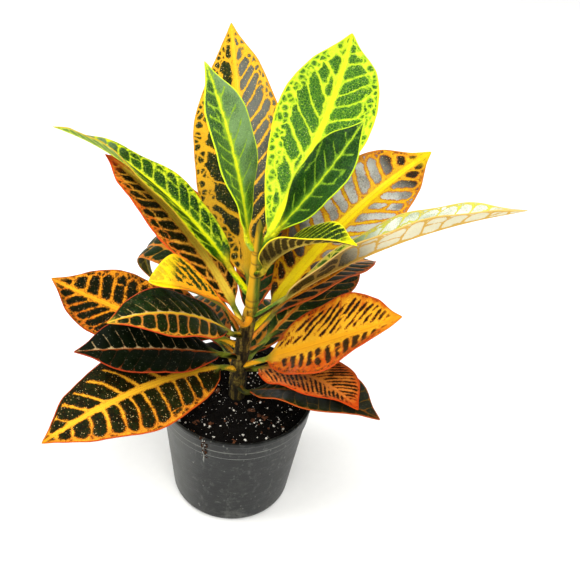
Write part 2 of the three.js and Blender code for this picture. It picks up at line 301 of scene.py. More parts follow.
mottle = mottleGroup()


def addMottle(graph, place, patch, grain, share, dark, light):
    # the mottled colour, and the patches and the grain behind it
    group = graph.node("ShaderNodeGroup", {
        "Place": place, "Patch Scale": patch, "Grain Scale": grain, "Grain Share": share,
        "Dark": tint(dark), "Light": tint(light),
    }, node_tree=mottle)
    return [graph.out(group, name) for name in ("Colour", "Patch", "Grain")]


def objectPlace(graph):
    return graph.made("ShaderNodeTexCoord", None, "Object")


# Mesh helpers


def newMesh(name, points, faces, edges=()):
    mesh = bpy.data.meshes.new(name)
    mesh.from_pydata(points, edges, faces)
    return mesh


def addPiece(name, mesh, node, slotName, material, crease=None):
    # a smooth piece, with sharp edges where it turns by more than crease degrees
    mesh.shade_smooth()
    if crease:
        mesh.set_sharp_from_angle(angle=math.radians(crease))
    piece = addObject(name, mesh)
    mesh.materials.clear()
    mesh.materials.append(material)
    mesh.polygons.foreach_set("material_index", [0] * len(mesh.polygons))
    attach(piece, "root")
    if node:
        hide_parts(node)


def ringPoints(radius, sides, heightAt):
    # one level ring in metres, each point at the height that heightAt gives in millimetres
    points = []
    for k in range(sides):
        angle = k / sides * 2 * math.pi
        x, y = radius * math.cos(angle), radius * math.sin(angle)
        points.append((x * mm, y * mm, heightAt(x, y) * mm))
    return points


def faceOutward(mesh, weld=False):
    # turns a closed shell the right way if it came out inside out, with doubled points joined
    shape = bmesh.new()
    shape.from_mesh(mesh)
    if weld:
        bmesh.ops.remove_doubles(shape, verts=shape.verts, dist=1e-6)
    inward = shape.calc_volume(signed=True) < 0
    if inward:
        bmesh.ops.reverse_faces(shape, faces=shape.faces)
    if weld or inward:
        shape.to_mesh(mesh)
    shape.free()


def tubeFaces(rings, count):
    # quads between rings of count points, in the order that makes them face outward
    faces = []
    for i in range(rings - 1):
        for k in range(count):
            a = i * count + k
            b = i * count + (k + 1) % count
            faces.append((a, b, b + count, a + count))
    return faces


def endFaces(ring, count, centre):
    # triangles from an end ring to its centre point, facing out at the first ring and at the last
    faces = []
    for k in range(count):
        a, b = ring * count + k, ring * count + (k + 1) % count
        faces.append((b, a, centre) if ring == 0 else (a, b, centre))
    return faces


def keepNumbers(mesh, name, values):
    # one number for each point, or three of them, kept with the mesh
    single = len(values) == len(mesh.vertices)
    kind, field = ("FLOAT", "value") if single else ("FLOAT_VECTOR", "vector")
    mesh.attributes.new(name, kind, "POINT").data.foreach_set(field, values)


def applied(work, name):
    # the evaluated object as a plain mesh, after which the working object goes
    state = bpy.context.evaluated_depsgraph_get()
    mesh = bpy.data.meshes.new_from_object(work.evaluated_get(state))
    mesh.name = name
    old = work.data
    work.modifiers.clear()
    bpy.data.objects.remove(work)
    bpy.data.meshes.remove(old)
    return mesh


def useTree(work, tree, values):
    modifier = work.modifiers.new(tree.name, "NODES")
    modifier.node_group = tree
    for item in tree.interface.items_tree:
        if item.in_out == "INPUT" and item.name in values:
            modifier[item.identifier] = values[item.name]


# Pot

pot = {
    "height": 92.0,
    "rimRadius": 54.0,
    "baseRadius": 42.4,
    "wall": 1.3,
    "floor": 1.8,
    "bandHeight": 15.5,
    "bandStep": 0.9,
    "footRounding": 6.0,
    "sides": 144,
    "holes": 6,
    "holeRadius": 4.0,
    "holeCircle": 29.0,
    "drillLength": 12.0,
    "crease": 38,
    "dark": 0x040505,
    "light": 0x0C0F0E,
    "dust": 0x868780,
    "scratchAngle": 251.5,
    # how far below the lip each painted highlight line lies, and how strong it is
    "paintedHighlightLines": ((15.5, 0.9), (9.0, 0.6)),
}


def wallRadius(z):
    return lerp(pot["baseRadius"], pot["rimRadius"] - pot["bandStep"], z / pot["height"])


def roundedLine(corners):
    # a line through (radius, height, rounding) corners, each rounded by a small curve
    line = []
    for i, (x, z, size) in enumerate(corners):
        here = Vector((x, z))
        if size == 0 or i in (0, len(corners) - 1):
            line.append(here)
            continue
        before = Vector(corners[i - 1][:2])
        after = Vector(corners[i + 1][:2])
        start = here + (before - here).normalized() * size
        end = here + (after - here).normalized() * size
        steps = 3 if size < 1 else 12
        for k in range(steps + 1):
            part = k / steps
            line.append(start * (1 - part) ** 2 + here * 2 * part * (1 - part) + end * part ** 2)
    return line


def potProfile():
    bandFoot = pot["height"] - pot["bandHeight"]
    inside = wallRadius(pot["height"]) - pot["wall"]
    corners = [
        (0, 1.2, 0),
        (22, 1.2, 0.4),
        (24, 0, 0.4),
        (wallRadius(0), 0, pot["footRounding"]),
        (wallRadius(40), 40, 0),
        (wallRadius(bandFoot - 1), bandFoot - 1, 0.3),
        (wallRadius(bandFoot) + pot["bandStep"], bandFoot, 0.35),
        (pot["rimRadius"] - 0.25, pot["height"] - 2.6, 0.3),
        (pot["rimRadius"], pot["height"] - 2.2, 0.3),
        (pot["rimRadius"], pot["height"], 0.6),
        (inside, pot["height"], 0.5),
        (wallRadius(40) - pot["wall"], 40, 0),
        (wallRadius(pot["floor"]) - pot["wall"], pot["floor"] + 0.4, pot["footRounding"] - 1.4),
        (0, pot["floor"] + 0.4, 0),
    ]
    return roundedLine(corners)


def turnedTree():
    # turns a profile in the XZ plane about the Z axis
    graph = newGroup("turnedProfile", "GeometryNodeTree")
    given = graph.takes({"Profile": "Geometry", "Sides": 96.0, "Material": "Material"})
    feeds = {"Geometry": given["Profile"]}
    rows = graph.made("GeometryNodeAttributeDomainSize", feeds, "Point Count", component="MESH")
    across = given["Sides"] + 1.0
    grid = graph.made("GeometryNodeMeshGrid", {"Vertices X": rows, "Vertices Y": across}, "Mesh")
    index = graph.made("GeometryNodeInputIndex")
    step = graph.calc("FLOOR", (index + 0.5) / across)
    angle = (index - step * across) / given["Sides"] * (2 * math.pi)
    feeds = {"Geometry": given["Profile"], "Value": graph.made("GeometryNodeInputPosition"), "Index": step}
    spot = graph.made("GeometryNodeSampleIndex", feeds, data_type="FLOAT_VECTOR", domain="POINT")
    turned = graph.made("ShaderNodeVectorRotate", {"Vector": spot, "Angle": angle}, rotation_type="Z_AXIS")
    placed = graph.made("GeometryNodeSetPosition", {"Geometry": grid, "Position": turned})
    merged = graph.made("GeometryNodeMergeByDistance", {"Geometry": placed, "Distance": 1e-6})
    return graph.painted(merged, given["Material"])


def potMaterial():
    material, graph, shader = newMaterial("potPlastic", {"IOR": 1.46, "Specular IOR Level": 0.28})
    rise, texture = graph.rise, graph.noise
    place = objectPlace(graph)
    x, y, z = graph.split(place)
    colour, _, grain = addMottle(graph, place, 28.0, 1400.0, 0.4, pot["dark"], pot["light"])
    angle = graph.calc("ARCTAN2", y, x)
    # scuffs run round the pot, broken up by a stretched noise
    scuffNoise = texture(graph.join(angle * 1.6, z * 230.0, 0.0), 1.6, 5.0, 0.7)
    scuffs = rise(scuffNoise, 0.61, 0.71, 0.0, 0.4)
    dustNoise = texture(place, 70.0, 5.0, 0.7)
    dust = rise(dustNoise, 0.48, 0.75) * rise(z, 0.03, 0.0, 0.1, 0.45)
    specks, _ = graph.cells(graph.join(x, y, z * 0.55), 380.0)
    specks = rise(specks, 0.34, 0.08) * rise(texture(place, 120.0, 3.0), 0.48, 0.66, 0.0, 0.5)
    # one pale rub down the band, left of the middle
    away = angle - math.radians(pot["scratchAngle"] - 360)
    away = abs(away + (texture(place, 160.0) - 0.5) * 0.03)
    rub = rise(away, 0.011, 0.004) * rise(z, 0.064, 0.07)
    rub = rub * rise(texture(place, 500.0, 3.0), 0.4, 0.52, 0.25, 0.95)
    smudges = rise(texture(graph.join(x, y, z * 0.6), 210.0, 4.0, 0.7), 0.5, 0.8, 0.0, 0.24)
    # painted light: the left side is painted paler, as if it were lit more
    paintedLitLeft = rise(x, -0.012, -0.05, 0.0, 0.3) * rise(dustNoise, 0.2, 0.7, 0.5, 1.1)
    marksAndPaintedLight = graph.most(scuffs, dust, specks, rub, smudges, paintedLitLeft)
    # painted highlights: thin pale lines at the step of the band and under the lip, where light would catch
    for below, share in pot["paintedHighlightLines"]:
        away = abs(z - (pot["height"] - below) * mm)
        marksAndPaintedLight = graph.most(marksAndPaintedLight, rise(away, 0.0006, 0.0002) * rise(dustNoise, 0.35, 0.6, 0.2, share))
    # the pale mark tone lays down the real marks and the painted light alike
    colour = graph.mix(marksAndPaintedLight, colour, tint(pot["dust"]))
    rough = rise(dustNoise, 0.3, 0.7, 0.38, 0.5) + marksAndPaintedLight * 0.25
    dress(graph, shader, colour, rough, grain * 0.25 + scuffNoise, 0.22, 0.0005)
    return material


def makePot():
    profile = [(p.x * mm, 0.0, p.y * mm) for p in potProfile()]
    edges = [(i, i + 1) for i in range(len(profile) - 1)]
    work = addObject("potWork", newMesh("potProfile", profile, [], edges))
    material = potMaterial()
    useTree(work, turnedTree(), {"Sides": float(pot["sides"]), "Material": material})
    shell = applied(work, "potShell")
    faceOutward(shell)
    drill = bmesh.new()
    for i in range(pot["holes"]):
        angle = i / pot["holes"] * 2 * math.pi
        spot = Vector((math.cos(angle), math.sin(angle), 0)) * pot["holeCircle"] * mm
        radius = pot["holeRadius"] * mm
        bmesh.ops.create_cone(
            drill, cap_ends=True, segments=28, radius1=radius, radius2=radius,
            depth=pot["drillLength"] * mm, matrix=Matrix.Translation(spot),
        )
    cutterMesh = bpy.data.meshes.new("drill")
    drill.to_mesh(cutterMesh)
    drill.free()
    cutter = addObject("drill", cutterMesh)
    work = addObject("potWork", shell)
    drilled = work.modifiers.new("drainHoles", "BOOLEAN")
    drilled.operation = "DIFFERENCE"
    drilled.solver = "EXACT"
    drilled.object = cutter
    bpy.context.view_layer.update()
    mesh = applied(work, "potShell")
    bpy.data.objects.remove(cutter)
    bpy.data.meshes.remove(cutterMesh)
    addPiece("potShell", mesh, "pot", "pot", material, pot["crease"])


makePot()
print("pot made")


# Soil

soil = {
    "top": 85.5,
    "crown": 1.6,
    "bumps": 0.7,
    "gap": 0.3,
    "rings": 46,
    "sides": 150,
    "roughness": 1.3,
    "hole": 6.3,
    "depth": 39.7,
    # rings up the side, and how far inside the pot's outer wall they and the underside lie
    "sideHeights": (4, 7, 12, 40, 70, 82),
    "sideInset": 1.7,
    "footInset": 4.2,
    "undersideInset": 7.4,
    "lift": 0.5,
    # the ring of the surface that grains fall on
    "grainFrom": 8.5,
    "grainTo": 47.8,
    "grainCrease": 32,
    "dark": 0x020100,
    "light": 0x0A0604,
}


def soilEdge():
    return wallRadius(soil["top"]) - pot["wall"] - soil["gap"]


def soilRelief(x, y):
    across = min(math.hypot(x, y) / soilEdge(), 1.0)
    swell = math.sin(x * 0.21 + 1.1) * math.cos(y * 0.17 - 0.4) + 0.5 * math.sin(x * 0.37 - y * 0.29)
    return soil["crown"] * (1 - across * across) + soil["bumps"] * swell * math.sin(math.pi * across)


def soilHeight(x, y):
    # the solid's swells with the crumbly surface on top
    fade = smooth(1.0, 0.93, math.hypot(x, y) / soilEdge())
    crumbs = noise.fractal(Vector((x, y, 3.1)) * 0.22, 0.7, 2.1, 5)
    clods = noise.noise(Vector((x, y, 9.7)) * 0.09)
    rough = soil["roughness"] * (crumbs * 0.8 + clods * 0.6) * lerp(0.45, 1, fade)
    return soil["top"] + soilRelief(x, y) + rough


def soilMaterial():
    material, graph, shader = newMaterial("peat", {"Specular IOR Level": 0.1})
    place = objectPlace(graph)
    colour, patch, grain = addMottle(graph, place, 160.0, 1100.0, 0.6, soil["dark"], soil["light"])
    fibre = graph.cellEdges(place, 700.0)
    damp = graph.rise(patch, 0.35, 0.65)
    dress(graph, shader, colour, 0.95 - damp * 0.2, grain + fibre * 1.2, 0.9, 0.0009)
    return material


def makeSoil():
    def level(height):
        return lambda x, y: height

    bottom = pot["floor"] + soil["gap"] + soil["lift"]
    rows = [(0.0, level(bottom)), (wallRadius(8) - soil["undersideInset"], level(bottom))]
    for z in soil["sideHeights"]:
        inset = soil["sideInset"] + soil["footInset"] * smooth(9, 2, z)
        rows.append((wallRadius(z) - inset, level(max(z, bottom))))
    steps = range(soil["rings"] + 1)
    rows += [(lerp(soilEdge(), soil["hole"], i / soil["rings"]), soilHeight) for i in steps]
    rows += [(soil["hole"], level(soil["depth"])), (0.0, level(soil["depth"]))]
    points = []
    for radius, heightAt in rows:
        points += ringPoints(radius, soil["sides"], heightAt)
    mesh = newMesh("soilBed", points, tubeFaces(len(rows), soil["sides"]))
    faceOutward(mesh, True)
    addPiece("soilBed", mesh, "soil", "soil", soilMaterial())


makeSoil()
print("soil made")


# Loose grains on the soil, all from one tree

grains = {
    "perlite": {
        "each": 0.024, "smallest": 0.3, "largest": 1.05, "flatness": 0.8, "lump": 2.4, "lumpScale": 1100.0,
        "seed": 11, "fine": 2, "dark": 0xC4BFB2, "light": 0xF4F0E6, "rough": 0.85, "shine": 0.3,
    },
    "perliteDust": {
        "each": 0.1, "smallest": 0.12, "largest": 0.42, "flatness": 0.9, "lump": 1.6, "lumpScale": 2600.0,
        "seed": 5, "fine": 1, "dark": 0xBDB8AB, "light": 0xECE8DE, "rough": 0.85, "shine": 0.3,
    },
    "barkChips": {
        "each": 0.005, "smallest": 0.7, "largest": 2.5, "flatness": 0.36, "lump": 2.6, "lumpScale": 520.0,
        "seed": 27, "fine": 2, "dark": 0x1E0F08, "light": 0x6A3E24, "rough": 0.8, "shine": 0.2,
    },
    "peatCrumbs": {
        "each": 0.22, "smallest": 0.4, "largest": 1.9, "flatness": 0.66, "lump": 2.8, "lumpScale": 900.0,
        "seed": 3, "fine": 1, "dark": 0x020201, "light": 0x0E0906, "rough": 0.95, "shine": 0.1,
    },
}


def scatterTree():
    graph = newGroup("scatteredGrains", "GeometryNodeTree")
    given = graph.takes({
        "Surface": "Geometry", "Density": 1000.0, "Smallest": 0.0005, "Largest": 0.001,
        "Flatness": 0.8, "Lump": 1.0, "Lump Scale": 900.0, "Seed": 1.0, "Fineness": 2.0,
        "Material": "Material",
    })
    seed = given["Seed"]
    feeds = {"Mesh": given["Surface"], "Density": given["Density"], "Seed": seed}
    points = graph.made("GeometryNodeDistributePointsOnFaces", feeds)
    feeds = {0: (-0.5, -0.5, 0.0), 1: (0.5, 0.5, 6.28), "Seed": seed}
    turn = graph.made("FunctionNodeRandomValue", feeds, data_type="FLOAT_VECTOR")
    size = graph.made("FunctionNodeRandomValue", {2: 0.0, 3: 1.0, "Seed": seed + 7.0}, 1, data_type="FLOAT")
    few = graph.calc("POWER", size, 2.0)
    radius = graph.calc("MULTIPLY_ADD", few, given["Largest"] - given["Smallest"], given["Smallest"])
    longer = radius * graph.made("FunctionNodeRandomValue", {2: 0.7, 3: 1.35}, 1, data_type="FLOAT")
    feeds = {"Geometry": points, "Name": "grainSize", "Value": radius}
    sized = graph.made("GeometryNodeStoreNamedAttribute", feeds, data_type="FLOAT", domain="POINT")
    placed = graph.made("GeometryNodeInstanceOnPoints", {
        "Points": sized, "Rotation": turn,
        "Instance": graph.made("GeometryNodeMeshIcoSphere", {"Subdivisions": given["Fineness"]}),
        "Scale": graph.join(longer, radius, radius * given["Flatness"]),
    })
    real = graph.made("GeometryNodeRealizeInstances", {0: placed})
    rough = graph.noise(graph.made("GeometryNodeInputPosition"), given["Lump Scale"], 2.0, 0.6)
    feeds = {"Name": "grainSize"}
    size = graph.made("GeometryNodeInputNamedAttribute", feeds, "Attribute", data_type="FLOAT")
    feeds = {0: graph.made("GeometryNodeInputNormal"), "Scale": (rough - 0.5) * (given["Lump"] * size)}
    push = graph.made("ShaderNodeVectorMath", feeds, operation="SCALE")
    lumpy = graph.made("GeometryNodeSetPosition", {"Geometry": real, "Offset": push})
    return graph.painted(lumpy, given["Material"])


def grainMaterial(name, look):
    material, graph, shader = newMaterial(name, {"Specular IOR Level": look["shine"]})
    colour, _, grain = addMottle(graph, objectPlace(graph), 260.0, 2200.0, 0.5, look["dark"], look["light"])
    rough = graph.rise(grain, 0.3, 0.7, look["rough"], look["rough"] + 0.1)
    dress(graph, shader, colour, rough, grain, 0.6, 0.0003)
    return material


def soilPatch():
    # the open top face that grains fall on
    points, sides, rings = [], 60, 16
    for i in range(rings):
        radius = lerp(soil["grainFrom"], soil["grainTo"], i / (rings - 1))
        points += ringPoints(radius, sides, soilHeight)
    return points, [face[::-1] for face in tubeFaces(rings, sides)]


# A narrow trickle over the rim and down the band, left of the middle. onRim is the share
# of it that lies on the rim, and its angles are degrees round the pot.

trickle = {
    "steps": 14,
    "onRim": 0.12,
    "drop": 22,
    "clearance": 0.1,
    "lean": 0.12,
    "rimInset": 1.5,
    "acrossRim": 12,
    "sweep": 2.5,
    "halfAtTop": 3.4,
    "halfAtEnd": 1.2,
}


def spillPatch():
    points, steps = [], trickle["steps"]
    for i in range(steps):
        part = i / (steps - 1)
        z = pot["height"] + trickle["clearance"] - max(0.0, part - trickle["onRim"]) * trickle["drop"]
        onRim = part <= trickle["onRim"]
        out = part * trickle["acrossRim"] - trickle["rimInset"] if onRim else trickle["clearance"]
        radius = pot["rimRadius"] + out - (pot["height"] - z) * trickle["lean"]
        half = lerp(trickle["halfAtTop"], trickle["halfAtEnd"], part)
        for side in (-1, 1):
            angle = math.radians(pot["scratchAngle"] + trickle["sweep"] * part + side * half)
            points.append((radius * math.cos(angle) * mm, radius * math.sin(angle) * mm, z * mm))
    return points, [(a, a + 2, a + 3, a + 1) for a in range(0, 2 * steps - 2, 2)]


def makeGrains(tree, name, look, patch):
    work = addObject(name + "Work", newMesh(name, *patch))
    material = grainMaterial(name + "Finish", look)
    useTree(work, tree, {
        "Density": look["each"] / (mm * mm), "Smallest": look["smallest"] * mm,
        "Largest": look["largest"] * mm, "Flatness": look["flatness"], "Lump": look["lump"],
        "Lump Scale": look["lumpScale"], "Seed": float(look["seed"]), "Fineness": float(look["fine"]),
        "Material": material,
    })
    mesh = applied(work, name)
    addPiece(name, mesh, None, "soil", material, soil["grainCrease"])


scatter = scatterTree()
for grainName, grainLook in grains.items():
    makeGrains(scatter, grainName, grainLook, soilPatch())
for grainName, kind, changes in (
    ("spiltCrumbs", "peatCrumbs", dict(each=0.62, smallest=0.2, largest=0.95, light=0x4A2E1C, seed=8)),
    ("spiltPerlite", "perliteDust", dict(each=0.16, smallest=0.2, largest=0.5, seed=9)),
):
    makeGrains(scatter, grainName, {**grains[kind], **changes}, spillPatch())
print("grains scattered")


# Stem

stem = {
    "path": [
        (0, 0, 40, 5.6), (0, 0, 66, 6.0), (0, 0, 92, 5.8), (0, 0, 118, 5.2), (3, 0, 145, 4.8),
        (5.5, 0, 167, 4.2), (6.2, 0, 190, 3.8), (6.5, 0, 212, 3.2), (6.5, 0, 226, 2.2),
    ],
    "rings": 240,
    "sides": 44,
    "jointSwell": 0.5,
    "jointSpread": 3.0,
    # height above the stem's top and share of its radius for each ring of the bud
    "bud": ((1.5, 0.98), (3.0, 0.9), (4.5, 0.75), (6.0, 0.55), (7.4, 0.34), (8.4, 0.16)),
    "budLength": 9.0,
    "barkDepth": 0.16,
    "scarDepth": 0.28,
    "bark": 0x0E0C05,
    "paleBark": 0xA88E3C,
    "fibre": 0x9A8A24,
    # painted light: a golden tone for the young stem's left side, as if lit
    "paintedLitSide": 0xD8A21A,
    "scar": 0x4A3418,
    # the young greens: the stem's own olive, kept darker as painted shade
    "green": 0x26360A,
    "paleGreen": 0x66801E,
    "greenFrom": 146.0,
    "greenTo": 168.0,
    # a blackish tone for blotches and for the stem darker towards the bottom
    "blackTone": 0x0C0A05,
    "darkerBelow": 134.0,
    "budTone": 0x8A7A28,
    "crack": 0x1E1812,
    # the small resting buds: how far above a leaf's joint, and their size each way
    "restingLift": 4.4,
    "restingSize": (0.95, 0.95, 1.35),
}


def stemAt(z):
    path = stem["path"]
    above = next((i for i, point in enumerate(path) if point[2] >= z), len(path) - 1)
    above = max(above, 1)
    low, high = path[above - 1], path[above]
    part = (z - low[2]) / (high[2] - low[2])
    middle = Vector((lerp(low[0], high[0], part), lerp(low[1], high[1], part), z))
    return middle, lerp(low[3], high[3], part)


# Leaves. The forms are the solids' own, and the looks say how each is patterned.
# Lengths in a look are millimetres. slant is how far a side vein runs forward for
# each millimetre outward, on the minus side and on the plus side of the rib.

plainForm = dict(
    lead=0, sway=0, roll=0, twist=0, fold=12, curl=0, widest=0.52, taper=1, hook=0, wave=1.2, waves=2.5,
    phase=0,
)

# the sheen colour, with its share, side and stretch along the blade, paints a reflection onto the cells
plainLook = dict(
    spacing=9, slant=(0.4, 0.4), bow=0.2, relief=0.38, slot="leaf_dark", veinHalf=0.45, band=1.2,
    freckles=0.25, crossShare=0.15, veinReach=2, paleVeins=0, blushFrom=0.5, ribHalf=1.3, crossLength=12,
    arch=5, funnel=2.6, edgeLine=0.6, netHalf=0.45, netSize=3.4, haloWidth=0.35, ragged=0.7, rounding=3,
    specks=0.35, fineNet=0.2, fadeTo=0.12, tipFrom=0.93, tipShare=0.7, paintedSheenShare=0, paintedSheenSide=0,
    paintedSheenFrom=0, paintedSheenTo=1, cell=0x0C1C06, cellLight=0x1C3A0C, halo=0x4A4A08, vein=0xD07A14, rib=0xE0921A,
    bandTone=0xC8661A, edge=0xA43A14, tip=0xC86018, paintedSheen=0x8A8A80, stalk=0x7E8A2A, underCell=0x3A3A16,
    underVein=0x8A7A26, gloss=0.36, mottle=0.15, glow=0, specular=0.14,
)

leafKinds = {
    "dark": dict(
        ribHalf=1.2,
    ),
    "orange": dict(
        freckles=0.6, ribHalf=2, slot="leaf_orange", veinHalf=(1, 0.95),
    ),
    "red": dict(
        slot="leaf_red",
    ),
    "yellow": dict(
        slot="leaf_yellow",
    ),
    "green": dict(
        crossLength=9, crossShare=0.3, edgeLine=0.7, freckles=0.9, mottle=0.6, netHalf=0.2, ragged=1.5,
        slant=(0.9, 0.9), slot="leaf_green", vein=0xC0D428,
    ),
}

